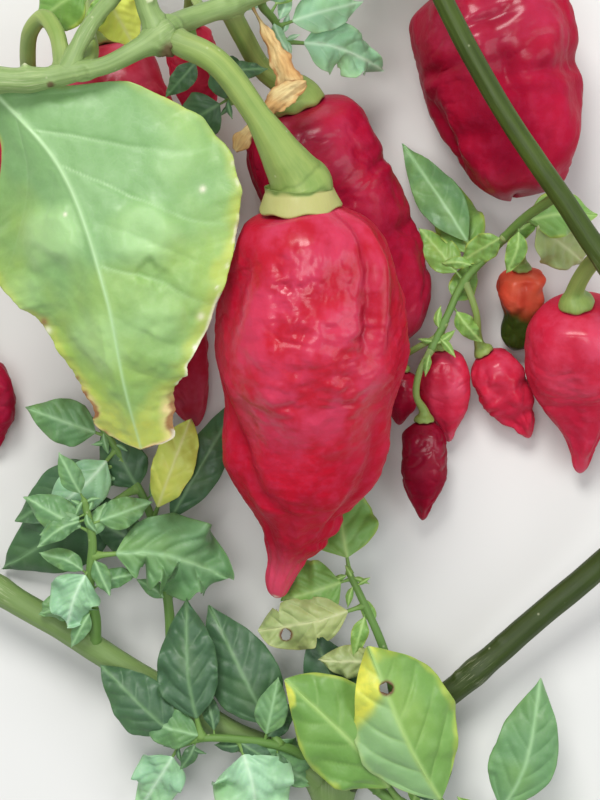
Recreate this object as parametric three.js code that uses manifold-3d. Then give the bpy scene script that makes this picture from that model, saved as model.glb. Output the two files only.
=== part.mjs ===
// A cut fruiting branch of a chilli pepper plant, lying on level ground.
// Lengths are millimetres and angles degrees. x runs across the branch, y runs from the cut end of the
// stem to the shoot tips, and z is the height over the ground. The origin ends up under the middle.
import * as THREE from "three";
import { mergeVertices } from "three/addons/utils/BufferGeometryUtils.js";
import Module from "manifold-3d";

const wasm = await Module();
wasm.setup();

// Driving dimensions
const CLEARANCE = 0.35; // between a limb and what grows from it
const MERGE_DISTANCE = 0.001; // vertices closer than this are one vertex
const STALK_LEAD = 0.2; // last stretch of a stalk, in line with its pod, as a share of the pod's first one
const CALYX_LENGTH = 1.6; // of the stretch in which a stalk widens to its calyx, in radii of the calyx
const CALYX_LONGEST = 0.5; // of a stalk's length, for that stretch
const CALYX_CURVE = 1.8; // the power by which it widens
const PETIOLE_SHARE = 0.2; // of a leaf's length, before its blade starts
const PETIOLE_SUNK = 0.12; // of a leaf's length, by which the petiole runs on into the blade
const SLIGHT_STALK = 1; // a stalk of a smaller radius has the few sides of a twig
const LEAF_THICKNESS = 0.42; // of a small leaf, and never under its length over LEAF_SLENDERNESS
const LEAF_SLENDERNESS = 80;
const LEAF_FOLD = 14; // each half of a small leaf falls away from the midrib by this angle
const LEAF_ARCH = 0.09; // rise of the midrib above the line from base to tip, as a share of that line
const LEAF_CREST = 0.45; // where along the leaf that rise is
const CREASE_FADE = 0.6; // the power by which a pod's creases fade at its ends
const STEEPEST = 0.93; // cosine of the least angle between a line and its reference axis

// Sides and steps of the faceted bodies
const LIMB = { sides: 8, steps: 9 };
const STALK = { sides: 7, steps: 9 };
const TWIG = { sides: 5, steps: 7 };
const PETIOLE = { sides: 3, steps: 2 };
const LEAF = { long: 5, wide: 2 };

// A wider pod has more sides and steps.
function podFacets(radius) {
  const sides = 2 * Math.round(4 + radius / 3.2);
  return { sides, steps: Math.round(0.7 * sides) };
}

// Outlines, as [share of the length, share of the largest radius or half width]
const OUTLINES = {
  wrinkled: [[0, 0.42], [0.03, 0.66], [0.1, 0.78], [0.3, 0.97], [0.38, 1], [0.5, 0.9], [0.62, 0.79],
    [0.69, 0.64], [0.77, 0.45], [0.84, 0.33], [0.91, 0.19], [1, 0.08]],
  broad: [[0, 0.4], [0.05, 0.78], [0.22, 1], [0.5, 0.93], [0.72, 0.7], [0.88, 0.44], [1, 0.12]],
  blunt: [[0, 0.36], [0.07, 0.8], [0.3, 1], [0.65, 0.94], [0.88, 0.72], [1, 0.34]],
  small: [[0, 0.4], [0.1, 0.86], [0.35, 1], [0.62, 0.84], [0.84, 0.4], [1, 0.1]],
  slanted: [[0, 0.4], [0.04, 0.78], [0.13, 0.95], [0.3, 1], [0.51, 0.93], [0.81, 0.71], [0.95, 0.42], [1, 0.2]],
  ovate: [[0, 0.08], [0.14, 0.7], [0.36, 1], [0.64, 0.76], [0.86, 0.34], [1, 0.03]],
  largeLeft: [[0, 0.03], [0.1, 0.25], [0.19, 0.67], [0.28, 0.93], [0.4, 1], [0.48, 0.95], [0.61, 0.73],
    [0.77, 0.49], [0.92, 0.24], [1, 0.03]],
  largeRight: [[0, 0.03], [0.1, 0.3], [0.19, 0.7], [0.3, 0.95], [0.4, 1], [0.5, 0.97], [0.61, 0.86],
    [0.77, 0.62], [0.92, 0.35], [1, 0.03]],
  strip: [[0, 0.3], [0.15, 0.9], [0.5, 0.8], [0.8, 1], [1, 0.3]],
};

// Folds along a pod, as [angle round it, depth as a share of the radius, width in degrees].
// The angle is 0 on top and grows to the left of a pod that points down the branch.
const CREASES = {
  front: [[38, 0.09, 22], [-62, -0.05, 20], [-95, 0.08, 20], [150, 0.08, 26]],
  four: [[0, 0.07, 22], [85, 0.08, 22], [175, 0.08, 24], [-95, 0.08, 22]],
  three: [[20, 0.1, 26], [140, 0.1, 26], [-100, 0.1, 26]],
};

// Woody limbs: the line down the middle, the radius at its two ends, swellings as
// [share of the length, extra radius, width of the swelling], and the limbs it is cut clear of.
const LIMBS = {
  main_stem: {
    path: [[6, -80, 3.6], [6, -75, 3.6], [5.6, -67.5, 4.6]],
    radius: [3.4, 3.6],
    clearOf: [],
  },
  left_arm_low: {
    path: [[4.4, -67.6, 4.8], [-2, -62.8, 6], [-11.4, -58.8, 6.5], [-26.2, -49.5, 8], [-40.1, -40.4, 9.5],
      [-52.1, -33, 11], [-61, -25.5, 13.2]],
    radius: [2.4, 2.2],
    clearOf: ["main_stem"],
  },
  left_arm_high: {
    path: [[-61, -25.5, 13.2], [-69, -9, 20], [-72, 12, 28.5], [-69.5, 32, 39], [-62, 44.5, 47],
      [-55, 48.9, 50.5], [-47.4, 49.7, 51.5]],
    radius: [2.2, 2],
    clearOf: ["left_arm_low"],
  },
  left_bough: {
    path: [[-47.4, 49.7, 51.5], [-41.9, 49.7, 51.5], [-36.2, 50.6, 51.8], [-30, 52, 52], [-25.5, 54.3, 51.8],
      [-21.8, 56.8, 51]],
    radius: [2, 2.3],
    swells: [[0.38, 0.35, 0.1], [1, 0.9, 0.12]],
    clearOf: ["left_arm_high"],
  },
  stem_up: {
    path: [[-22.2, 57.5, 51], [-24, 62.2, 51.5], [-24.8, 69.8, 52], [-25.6, 76.4, 50]],
    radius: [1.7, 1.2],
    clearOf: ["left_bough"],
  },
  stem_right: {
    path: [[-20.6, 58.2, 49.5], [-17.4, 60.4, 45], [-10.9, 63.4, 41], [-4, 66.5, 38], [6.5, 72.8, 33]],
    radius: [1.9, 1.3],
    clearOf: ["left_bough", "stem_up"],
  },
  side_stem: {
    path: [[-36.3, 50.6, 51.8], [-33.4, 57.1, 51], [-29.6, 62.6, 49], [-21.4, 71.4, 44]],
    radius: [1.5, 1.2],
    clearOf: ["left_bough"],
  },
  right_arm_low: {
    path: [[7.4, -67.6, 4.8], [13, -61.6, 6], [21.1, -55.3, 6.5], [30.6, -47.6, 8], [41.8, -37.4, 10],
      [51.9, -28.6, 12], [59.3, -20.6, 15]],
    radius: [2.3, 2.2],
    clearOf: ["main_stem", "left_arm_low"],
  },
  right_arm_high: {
    path: [[59.3, -20.6, 15], [65.5, -6.8, 20], [65.4, 8.3, 27], [58.4, 18.1, 32], [50.9, 21.9, 34]],
    radius: [2.2, 2.2],
    swells: [[1, 0.4, 0.12]],
    clearOf: ["right_arm_low"],
  },
  right_bough: {
    path: [[50.9, 21.9, 34], [42.3, 33.3, 35.5], [32.4, 47.8, 36.5], [24, 63.1, 37.2], [20.2, 71, 38],
      [16.9, 78.3, 38]],
    radius: [2, 2],
    swells: [[0.86, 0.4, 0.12]],
    clearOf: ["right_arm_high"],
  },
};

// Pods: the line down the middle from the calyx to the tip, the largest radius, the outline and creases
// where they aren't those of a small pod, and the stalk with the points it starts from and passes, its
// radius, the radius of its calyx and the limbs it is cut clear of.
const PODS = {
  front: {
    path: [[0.2, 30.5, 45], [1.8, 23.9, 43], [1.3, 9.7, 36.5], [1, -6.6, 27.5], [-0.3, -18.6, 20.5],
      [-4.1, -34.1, 12.5]],
    radius: 16.1,
    outline: "wrinkled",
    creases: "front",
    stalk: {
      path: [[-20, 56, 51], [-13.2, 52.6, 52], [-6.5, 44.2, 50.5]],
      radius: 2.1,
      calyx: 6.6,
      clearOf: ["left_bough", "stem_right"],
    },
  },
  behind: {
    path: [[-0.4, 50, 17.4], [4.6, 37, 12.3], [9.2, 29, 11], [14.8, 17.3, 9], [17, 9.6, 8]],
    radius: 12.3,
    outline: "slanted",
    creases: "four",
    stalk: {
      path: [[-11.5, 63, 41], [-9.4, 59.8, 33], [-6.2, 55.6, 24]],
      radius: 1.7,
      calyx: 4.8,
      clearOf: ["stem_right"],
    },
  },
  left: {
    path: [[-33.7, 61.3, 12.5], [-29.4, 39.8, 10.3], [-23.5, 15.6, 8], [-18.3, -4.6, 3.6]],
    radius: 10.6,
    outline: "broad",
    creases: "four",
    stalk: {
      path: [[-33.5, 51, 51.9], [-33, 54.5, 46], [-34.5, 60, 34], [-36, 66.5, 22]],
      radius: 1.2,
      calyx: 4,
      clearOf: ["left_bough", "side_stem"],
    },
  },
  top_right: {
    path: [[29.1, 72.3, 14.6], [34.3, 58.4, 14], [36.2, 46.4, 13.8], [38, 36.4, 11.5]],
    radius: 14.6,
    outline: "blunt",
    creases: "four",
    stalk: {
      path: [[20.2, 71.4, 38], [21, 78.5, 32], [24.4, 82, 22]],
      radius: 1.6,
      calyx: 5,
      clearOf: ["right_bough"],
    },
  },
  right: {
    path: [[47.1, 15.9, 18.5], [48.9, 3.5, 9.8], [49.6, -5, 7.2], [50.1, -12.7, 4.2]],
    radius: 9.5,
    outline: "broad",
    stalk: {
      path: [[50.6, 21.9, 33.8], [49.4, 23.6, 29]],
      radius: 1.8,
      calyx: 4.2,
      clearOf: ["right_arm_high", "right_bough"],
    },
  },
  back: {
    path: [[-18.2, 62, 28], [-17.4, 53.5, 22], [-16.8, 46, 18]],
    radius: 4.4,
    stalk: {
      path: [[-15.5, 61.5, 43.6], [-17.5, 65.6, 38]],
      radius: 0.8,
      calyx: 1.9,
      clearOf: ["stem_right"],
    },
  },
  under_leaf: {
    path: [[-45.5, 47, 15], [-47.5, 36, 7.6], [-49.5, 26, 5.2], [-50, 20, 3.4]],
    radius: 7,
    stalk: {
      path: [[-37, 51, 51.3], [-37.9, 56.9, 49], [-40.4, 60.4, 46], [-42.9, 59.1, 42], [-44.4, 55.2, 34]],
      radius: 1.3,
      calyx: 2.9,
      clearOf: ["left_bough", "side_stem"],
    },
  },
  far_left: {
    path: [[-55.8, 6.5, 7.6], [-54.4, -0.9, 5], [-53.8, -8.8, 3]],
    radius: 4.9,
    stalk: {
      path: [[-71.8, 10, 27.6], [-66, 13, 25], [-59.5, 13.5, 15]],
      radius: 0.9,
      calyx: 2.1,
      clearOf: ["left_arm_high"],
    },
  },
  near_front: {
    path: [[17.8, 4.9, 7], [17.5, -4.4, 4.2]],
    radius: 3.4,
    stalk: {
      path: [[23.6, 10.8, 13.5], [20.2, 9, 11.8]],
      radius: 0.55,
      calyx: 1.5,
      clearOf: ["shoot_right"],
    },
  },
  low: {
    path: [[24.7, 8.7, 8], [25.8, 0.9, 5.8], [26.4, -7.4, 3]],
    radius: 4.7,
    stalk: {
      path: [[24.9, 13, 13.5]],
      radius: 0.6,
      calyx: 1.8,
      clearOf: ["shoot_right"],
    },
  },
  slanting: {
    path: [[32.4, 8, 8], [36.8, 0.9, 5.6], [40.6, -6.7, 3.4]],
    radius: 4.8,
    stalk: {
      path: [[28.4, 20.6, 14.1], [30.4, 15, 13]],
      radius: 0.6,
      calyx: 1.8,
      clearOf: ["shoot_right"],
    },
  },
  lowest: {
    path: [[21.6, -4, 10], [21.9, -12.3, 8], [21.6, -21.2, 5]],
    radius: 4.3,
    stalk: {
      path: [[22.6, 8.6, 13.4], [20.6, 4.8, 13.2], [20.1, 0.8, 12.4]],
      radius: 0.6,
      calyx: 1.7,
      clearOf: ["shoot_right"],
    },
  },
  unripe: {
    path: [[38.8, 22.5, 8], [39.2, 15.8, 4.9], [37.8, 8.8, 3.2]],
    radius: 4.2,
    stalk: {
      path: [[34.6, 27.5, 18.8], [37.6, 27.6, 15]],
      radius: 0.6,
      calyx: 1.7,
      clearOf: ["shoot_right"],
    },
  },
};

// Masses: the line of the twig, its radius at both ends, the limb it grows from, and its leaves as
// [share along the twig, heading from +x, length seen from above, width, rise of the tip over the base].
const MASSES = {
  shoot_low_left: {
    parent: "left_arm_low",
    path: [[-36, -43.6, 9], [-35.3, -38, 13], [-36, -32.5, 16], [-35.3, -23.8, 19], [-36.5, -16.9, 21]],
    radius: [1.1, 0.6],
    leaves: [[0.62, -10, 23, 10.5, -5.6], [0.5, -140, 11, 7, -1], [1, 116, 9, 4, 3], [0.92, -155, 9, 4, -1],
      [0.85, 20, 10, 4, -3]],
  },
  shoot_mid_left: {
    parent: "left_arm_low",
    path: [[-22.5, -52.3, 7.8], [-23, -34.9, 9.5], [-26.1, -19.8, 10], [-31.7, -8.7, 12], [-34.6, -4.3, 12.5]],
    radius: [1, 0.6],
    leaves: [[0.95, 160, 14, 7, 3], [0.86, -150, 22, 8, -4], [0.75, -149, 29, 12, -8], [0.62, 69, 19, 6.5, 6],
      [0.55, 60, 30, 6, 0.5]],
  },
  foliage_low_left: {
    parent: "left_arm_low",
    path: [[2.5, -64.6, 5.8], [-1, -61, 10], [-6.9, -59.2, 12], [-16.4, -58.4, 13], [-20.8, -59.7, 12]],
    radius: [1, 0.6],
    leaves: [[0.85, 96, 24.6, 10, 2], [0.97, 136, 20, 9, 2], [1, -121, 14.5, 8, -8], [0.55, -66, 15, 13, -3.5],
      [0.35, 117, 27, 11, -2.4]],
  },
  foliage_low_right: {
    parent: "right_arm_low",
    path: [[9.6, -64.6, 5.8], [13, -67.5, 9], [17.4, -70.5, 10], [29.5, -73.9, 11], [39.4, -75.2, 10]],
    radius: [1.1, 0.6],
    leaves: [[0.35, 132, 31, 16, 6], [0.62, 116, 35, 18.5, 9], [0.97, 88, 25, 12.5, 4], [0.2, 113, 30, 11, -1]],
  },
  shoot_centre: {
    parent: "right_arm_low",
    path: [[18.6, -57, 6.4], [16.5, -52, 10], [14.5, -43.2, 13], [10.7, -34.4, 13], [8.6, -30.1, 12]],
    radius: [0.9, 0.6],
    leaves: [[1, 99, 17, 11.5, -5], [0.6, 172, 20, 9, -4.5], [0.45, 178, 12, 5, -0.6]],
  },
  shoot_right: {
    parent: "right_bough",
    path: [[42.2, 33.4, 35.3], [40.5, 32.4, 29], [37.1, 30, 22], [32.6, 25.2, 16], [28.2, 20.4, 14],
      [25.4, 14.6, 13.6], [22.6, 8.6, 13.4]],
    radius: [0.9, 0.6],
    leaves: [[0.3, -30, 14, 8, -14], [0.42, -12, 12, 7, -9], [0.6, 121, 25, 7, -10],
      [0.66, 104, 15, 8, -5], [0.82, 60, 9.4, 5, -5]],
  },
  shoot_back: {
    parent: "stem_right",
    path: [[-5.6, 65.6, 38.4], [-6.2, 64.6, 33], [-4.3, 63, 28], [-2.7, 60, 25]],
    radius: [0.8, 0.6],
    leaves: [[0.8, 21, 15.4, 6, -7.9], [1, -10, 18.6, 7.6, -12], [0.6, 60, 12, 5, -4]],
  },
  shoot_under: {
    parent: "stem_right",
    path: [[-17.6, 60.4, 45.4], [-16.8, 57, 39], [-14.4, 53.8, 32], [-11.4, 49.5, 26]],
    radius: [0.8, 0.6],
    leaves: [[0.95, -150, 10.5, 8, -3], [0.5, -32, 8.5, 7, -9]],
  },
  shoot_side: {
    parent: "side_stem",
    path: [[-29.8, 62.4, 48.8], [-31, 65.5, 45], [-33, 67, 41]],
    radius: [0.8, 0.6],
    leaves: [[1, -150, 12, 9, -6], [0.8, -60, 11, 8, -6]],
  },
  tip_up: {
    parent: "stem_up",
    path: [[-25.6, 76.4, 50], [-27.1, 83.4, 47], [-29.4, 90.2, 42]],
    radius: [1.1, 0.6],
    leaves: [[0.2, 47, 13, 8, -10], [0.45, 179, 12, 8, -7], [0.8, 73, 14, 8, -9], [1, 134, 12, 7.5, -8]],
  },
  tip_left: {
    parent: "side_stem",
    path: [[-21.4, 71.4, 44], [-17.7, 77.8, 40], [-13, 82.8, 36]],
    radius: [1.1, 0.6],
    leaves: [[0.2, -178, 14, 8, -6], [0.5, -7, 12, 7.5, -12], [0.8, 93, 15, 7.6, -7.7], [1, 30, 12, 7.6, -8]],
  },
  tip_middle: {
    parent: "stem_right",
    path: [[6.5, 72.8, 33], [9.6, 77.8, 29], [13, 83, 26]],
    radius: [1.1, 0.6],
    leaves: [[0.15, -37, 9, 7, -9], [0.5, 126, 12, 7.7, -5], [0.9, 40, 13.6, 8, -8.6], [1, 107, 13.8, 8, -6]],
  },
  tip_right: {
    parent: "right_bough",
    path: [[16.9, 78.3, 38], [15.9, 85.4, 35], [17.1, 92.1, 31]],
    radius: [1.5, 0.7],
    leaves: [[0.2, 27, 13, 8, -8.8], [0.5, 141, 13, 8, -7], [0.85, 49, 15, 8.4, -10], [1, 101, 14, 8, -9]],
  },
};

// The large leaf: its midrib, the greatest half widths of its left and right sides seen from the base,
// how far each side falls away, their outlines and the thickness.
const LARGE_LEAF = {
  path: [[-48.8, 49.2, 47.2], [-37.4, 36, 49.2], [-30.5, 16.6, 48.6], [-27.9, 1.8, 43], [-25.8, -7.9, 36]],
  halfWidth: { left: 25, right: 21 },
  fold: { left: -1, right: 39 },
  outline: { left: "largeLeft", right: "largeRight" },
  thickness: 0.7,
  long: 14,
  wide: 8,
};

// The dry leaf caught between the front pod's stalk and the pod behind it
const DRY_LEAF = {
  path: [[-8, 64.3, 36], [-4, 57, 37], [-1.5, 51.1, 37], [-4.2, 47.7, 36.5], [-9.8, 40.7, 35]],
  halfWidth: { left: 1.9, right: 1.9 },
  fold: { left: 25, right: 25 },
  outline: { left: "strip", right: "strip" },
  thickness: 0.5,
  long: 14,
  wide: 2,
};

const radians = THREE.MathUtils.degToRad;
const vector = (point) => new THREE.Vector3(...point);

// A smooth line through points, lengthened by grow at both ends.
function lineThrough(points, grow = 0) {
  const places = points.map(vector);
  const last = places.length - 1;
  const outward = places[0].clone().sub(places[1]).setLength(grow);
  const onward = places[last].clone().sub(places[last - 1]).setLength(grow);
  places[0].add(outward);
  places[last].add(onward);
  return new THREE.CatmullRomCurve3(places, false, "centripetal");
}

// The world axis that a line never runs close to, with the vertical first.
function referenceAxis(line) {
  const axes = [new THREE.Vector3(0, 0, 1), new THREE.Vector3(1, 0, 0), new THREE.Vector3(0, 1, 0)];
  const shares = [0, 0.125, 0.25, 0.375, 0.5, 0.625, 0.75, 0.875, 1];
  const nearest = (axis) => Math.max(...shares.map((t) => Math.abs(line.getTangentAt(t).dot(axis))));
  return axes.find((axis) => nearest(axis) < STEEPEST) ?? axes[1];
}

// The place on a line, the way it runs there, the direction square to it nearest to the axis, and the
// third direction, square to both.
function frameOn(line, t, axis) {
  const along = line.getTangentAt(t).normalize();
  const up = axis.clone().addScaledVector(along, -axis.dot(along)).normalize();
  return { place: line.getPointAt(t), along, up, side: along.clone().cross(up) };
}

// A closed body round a line. Its radius is radiusAt(share of the length, angle from the top).
function sweep(line, radiusAt, { sides, steps }) {
  const geometry = new THREE.CylinderGeometry(1, 1, 1, sides, steps);
  const axis = referenceAxis(line);
  const vertices = geometry.getAttribute("position");
  for (let i = 0; i < vertices.count; i += 1) {
    const [x, y, z] = [vertices.getX(i), vertices.getY(i), vertices.getZ(i)];
    const t = THREE.MathUtils.clamp(y + 0.5, 0, 1);
    const { place, up, side } = frameOn(line, t, axis);
    const radius = radiusAt(t, Math.atan2(x, z));
    place.addScaledVector(side, x * radius).addScaledVector(up, z * radius);
    vertices.setXYZ(i, place.x, place.y, place.z);
  }
  return geometry;
}

// A value between the points of an outline, on a smooth curve through them.
function valueOn(outline, t) {
  const end = Math.max(1, outline.findIndex(([place]) => place >= t));
  const slopeAt = (i) => {
    const [before, after] = [outline[Math.max(0, i - 1)], outline[Math.min(outline.length - 1, i + 1)]];
    return (after[1] - before[1]) / (after[0] - before[0]);
  };
  const [[t0, v0], [t1, v1]] = [outline[end - 1], outline[end]];
  const [span, s] = [t1 - t0, (t - t0) / (t1 - t0)];
  return v0 * (1 + 2 * s) * (1 - s) ** 2 + v1 * s * s * (3 - 2 * s)
    + span * s * (1 - s) * (slopeAt(end - 1) * (1 - s) - slopeAt(end) * s);
}

// A thin blade along a line, from the share from to its tip. Its two sides fall away from the midrib.
function blade(line, { halfWidth, fold, outline, thickness, from = 0, long, wide }) {
  const geometry = new THREE.BoxGeometry(1, 1, 2, long, 1, wide);
  const axis = new THREE.Vector3(0, 0, 1);
  const vertices = geometry.getAttribute("position");
  for (let i = 0; i < vertices.count; i += 1) {
    const share = THREE.MathUtils.clamp(vertices.getX(i) + 0.5, 0, 1);
    const across = vertices.getZ(i);
    const { place, along, up } = frameOn(line, THREE.MathUtils.lerp(from, 1, share), axis);
    const outward = along.clone().cross(up).multiplyScalar(Math.sign(across));
    const half = across > 0 ? "right" : "left";
    const reach = halfWidth[half] * valueOn(OUTLINES[outline[half]], share);
    const width = Math.max(reach, thickness) * Math.abs(across);
    place.addScaledVector(outward, width * Math.cos(radians(fold[half])));
    place.addScaledVector(up, vertices.getY(i) * thickness - width * Math.sin(radians(fold[half])));
    vertices.setXYZ(i, place.x, place.y, place.z);
  }
  return geometry;
}

// A closed geometry as a solid that can be joined and cut.
function solidOf(geometry) {
  geometry.deleteAttribute("normal");
  geometry.deleteAttribute("uv");
  const merged = mergeVertices(geometry, MERGE_DISTANCE);
  return new wasm.Manifold(new wasm.Mesh({
    numProp: 3,
    vertProperties: merged.getAttribute("position").array,
    triVerts: new Uint32Array(merged.index.array),
  }));
}

// The largest body of a solid: what a cut leaves loose is dropped.
function largestBody(solid) {
  return solid.decompose().reduce((best, body) => (body.volume() > best.volume() ? body : best));
}

function geometryOf(solid) {
  const { vertProperties, triVerts } = solid.getMesh();
  const geometry = new THREE.BufferGeometry();
  geometry.setAttribute("position", new THREE.BufferAttribute(vertProperties, 3));
  geometry.setIndex(new THREE.BufferAttribute(triVerts, 1));
  geometry.computeVertexNormals();
  return geometry;
}

// A limb's radius: a straight taper with its swellings.
function limbRadius({ radius, swells = [] }, t) {
  const taper = THREE.MathUtils.lerp(radius[0], radius[1], t);
  return swells.reduce((sum, [at, extra, width]) => sum + extra * Math.exp(-(((t - at) / width) ** 2)), taper);
}

// A limb's body, made larger on all sides by grow.
function limbSolid(limb, facets, grow = 0) {
  return solidOf(sweep(lineThrough(limb.path, grow), (t) => limbRadius(limb, t) + grow, facets));
}

// A solid with the limbs and twigs named cut away from it, with the clearance.
function clearOfLimbs(solid, names) {
  const limbNamed = (name) => (name in LIMBS
    ? limbSolid(LIMBS[name], LIMB, CLEARANCE)
    : limbSolid(MASSES[name], TWIG, CLEARANCE));
  return largestBody(names.reduce((rest, name) => rest.subtract(limbNamed(name)), solid));
}

// A pod's radius: its outline, drawn in along its creases, which fade out at both ends.
function podRadius({ radius, outline = "small", creases = "three" }, t, angle) {
  const fade = Math.sin(Math.PI * t) ** CREASE_FADE;
  const depth = CREASES[creases].reduce((sum, [at, deep, width]) => {
    const away = THREE.MathUtils.euclideanModulo(THREE.MathUtils.radToDeg(angle) - at + 180, 360) - 180;
    return sum + deep * Math.exp(-((away / width) ** 2));
  }, 0);
  return radius * valueOn(OUTLINES[outline], t) * (1 - depth * fade);
}

// A pod's stalk: it comes into line with the pod, and widens to the calyx that sits on its top.
function stalkSolid({ path, stalk }) {
  const [top, next] = path.slice(0, 2).map(vector);
  const along = next.clone().sub(top);
  const lead = along.length() * STALK_LEAD;
  along.normalize();
  const end = top.clone().addScaledVector(along, -CLEARANCE);
  const turn = end.clone().addScaledVector(along, -lead);
  const line = lineThrough([...stalk.path, turn.toArray(), end.toArray()]);
  const flare = Math.min(CALYX_LONGEST, (stalk.calyx * CALYX_LENGTH) / line.getLength());
  const radiusAt = (t) => {
    const s = THREE.MathUtils.clamp((t - 1 + flare) / flare, 0, 1);
    return THREE.MathUtils.lerp(stalk.radius, stalk.calyx, s ** CALYX_CURVE);
  };
  const facets = stalk.radius < SLIGHT_STALK ? TWIG : STALK;
  return clearOfLimbs(solidOf(sweep(line, radiusAt, facets)), stalk.clearOf);
}

// One leaf of a mass: a petiole from inside the twig, and a blade that it runs on into.
function leafSolid(base, [, heading, length, width, rise]) {
  const away = new THREE.Vector3(Math.cos(radians(heading)), Math.sin(radians(heading)), 0);
  const tip = base.clone().addScaledVector(away, length);
  tip.z += rise;
  const crest = base.clone().lerp(tip, LEAF_CREST);
  crest.z += length * LEAF_ARCH;
  const line = lineThrough([base.toArray(), crest.toArray(), tip.toArray()]);
  const thickness = Math.max(LEAF_THICKNESS, length / LEAF_SLENDERNESS);
  const stem = new THREE.CatmullRomCurve3(
    [0, 0.5, 1].map((s) => line.getPointAt(s * (PETIOLE_SHARE + PETIOLE_SUNK))), false, "centripetal");
  const petiole = sweep(stem, () => thickness, PETIOLE);
  const leaf = blade(line, {
    halfWidth: { left: width / 2, right: width / 2 },
    fold: { left: LEAF_FOLD, right: LEAF_FOLD },
    outline: { left: "ovate", right: "ovate" },
    thickness,
    from: PETIOLE_SHARE,
    long: LEAF.long,
    wide: LEAF.wide,
  });
  return solidOf(petiole).add(solidOf(leaf));
}

// A mass: its twig, cut clear of the limb it grows from, with the leaves joined on.
function massSolid({ parent, path, radius, leaves }) {
  const line = lineThrough(path);
  const twig = clearOfLimbs(limbSolid({ path, radius }, TWIG), [parent]);
  return leaves.reduce((mass, leaf) => mass.add(leafSolid(line.getPointAt(leaf[0]), leaf)), twig);
}

// Finishes: bark, stalk, flesh, leaf and dry leaf
const finish = (color, roughness) => ({ color, roughness });
const FINISHES = {
  bark: finish("#7d9b55", 0.65),
  stalk: finish("#8ca550", 0.55),
  ripe: finish("#c82536", 0.32),
  unripe: finish("#d85a30", 0.35),
  largeLeaf: finish("#8fbb76", 0.6),
  leaf: finish("#6f9c6b", 0.65),
  dry: finish("#cda066", 0.85),
};

const branch = new THREE.Group();

function addPiece(name, geometry, { color, roughness }) {
  const material = new THREE.MeshStandardMaterial({ color, roughness, metalness: 0 });
  const mesh = new THREE.Mesh(geometry, material);
  mesh.name = name;
  branch.add(mesh);
}

for (const [name, limb] of Object.entries(LIMBS)) {
  addPiece(name, geometryOf(clearOfLimbs(limbSolid(limb, LIMB), limb.clearOf)), FINISHES.bark);
}

for (const [name, pod] of Object.entries(PODS)) {
  addPiece(`stalk_${name}`, geometryOf(stalkSolid(pod)), FINISHES.stalk);
  const skin = sweep(lineThrough(pod.path), (t, angle) => podRadius(pod, t, angle), podFacets(pod.radius));
  addPiece(`pod_${name}`, skin, name === "unripe" ? FINISHES.unripe : FINISHES.ripe);
}

for (const [name, mass] of Object.entries(MASSES)) {
  addPiece(name, geometryOf(massSolid(mass)), FINISHES.leaf);
}

addPiece("leaf_large", blade(lineThrough(LARGE_LEAF.path), LARGE_LEAF), FINISHES.largeLeaf);
addPiece("dry_leaf", blade(lineThrough(DRY_LEAF.path), DRY_LEAF), FINISHES.dry);

// The origin goes to the ground under the middle of the branch.
const box = new THREE.Box3().setFromObject(branch);
const middle = box.getCenter(new THREE.Vector3());
branch.position.set(-middle.x, -middle.y, -box.min.z);

export default branch;
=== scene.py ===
"""Looks of a cut fruiting branch of a chilli pepper plant, grown round its solids.

Tables are in millimetres in the branch's layout, with z up from the ground, and angles are in degrees.
What is built from them is moved by LAYOUT_SHIFT and scaled to metres, which is the frame of the solids.
"""
import logging
import math
from dataclasses import dataclass
from enum import Enum

import bpy
import numpy as np
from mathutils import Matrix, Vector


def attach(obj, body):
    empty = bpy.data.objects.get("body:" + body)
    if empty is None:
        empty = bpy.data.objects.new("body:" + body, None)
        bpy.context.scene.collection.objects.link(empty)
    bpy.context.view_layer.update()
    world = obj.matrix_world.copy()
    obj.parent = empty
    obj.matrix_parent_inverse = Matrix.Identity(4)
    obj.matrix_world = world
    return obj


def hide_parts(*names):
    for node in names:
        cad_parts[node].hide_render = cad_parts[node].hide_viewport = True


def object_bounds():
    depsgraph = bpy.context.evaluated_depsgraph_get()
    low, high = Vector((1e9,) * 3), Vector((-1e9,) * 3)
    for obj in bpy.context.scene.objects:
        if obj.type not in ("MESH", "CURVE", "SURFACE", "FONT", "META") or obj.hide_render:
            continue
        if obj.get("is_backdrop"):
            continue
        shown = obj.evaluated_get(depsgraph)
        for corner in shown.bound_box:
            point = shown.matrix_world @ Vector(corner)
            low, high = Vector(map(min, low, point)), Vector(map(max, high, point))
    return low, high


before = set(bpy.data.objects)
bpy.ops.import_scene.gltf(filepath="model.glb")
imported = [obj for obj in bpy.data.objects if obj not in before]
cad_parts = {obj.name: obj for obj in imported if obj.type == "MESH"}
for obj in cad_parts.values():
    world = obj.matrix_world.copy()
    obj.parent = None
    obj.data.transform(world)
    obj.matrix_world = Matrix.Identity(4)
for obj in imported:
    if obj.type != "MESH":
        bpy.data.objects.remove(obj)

Array = np.ndarray
Socket = bpy.types.NodeSocket
Material = bpy.types.Material
Colour = tuple[int, int, int]
Pair = tuple[float, float]
Triple = tuple[float, float, float]
Point = tuple[float, float, float]
Path = tuple[Point, ...]
Table = tuple[Pair, ...]
Body = tuple[Array, dict[str, Array], Pair]
LOG = logging.getLogger("branch")

MM = 0.001
LAYOUT_SHIFT = np.array([2.7731, -12.9936, -0.0956])
STEEPEST = 0.93  # cosine of the least angle between a line and its reference axis
WELD = 1.1  # how far limbs flow into each other, as a share of the thinner one's radius
FINE_STEPS = 40  # places worked out between two points of a line
CAP_STEPS = 8  # stations over a limb's rounded end
STEM_MASKS = ("knot", "scar", "bud", "shade", "base", "rim", "groove")


def linear(colour: Colour) -> Triple:
    """A colour as Blender's linear values, from the three bytes that a screen shows."""
    shares = np.array(colour) / 255
    light = np.where(shares <= 0.04045, shares / 12.92, ((shares + 0.055) / 1.055) ** 2.4)
    return tuple(float(x) for x in light)


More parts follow.
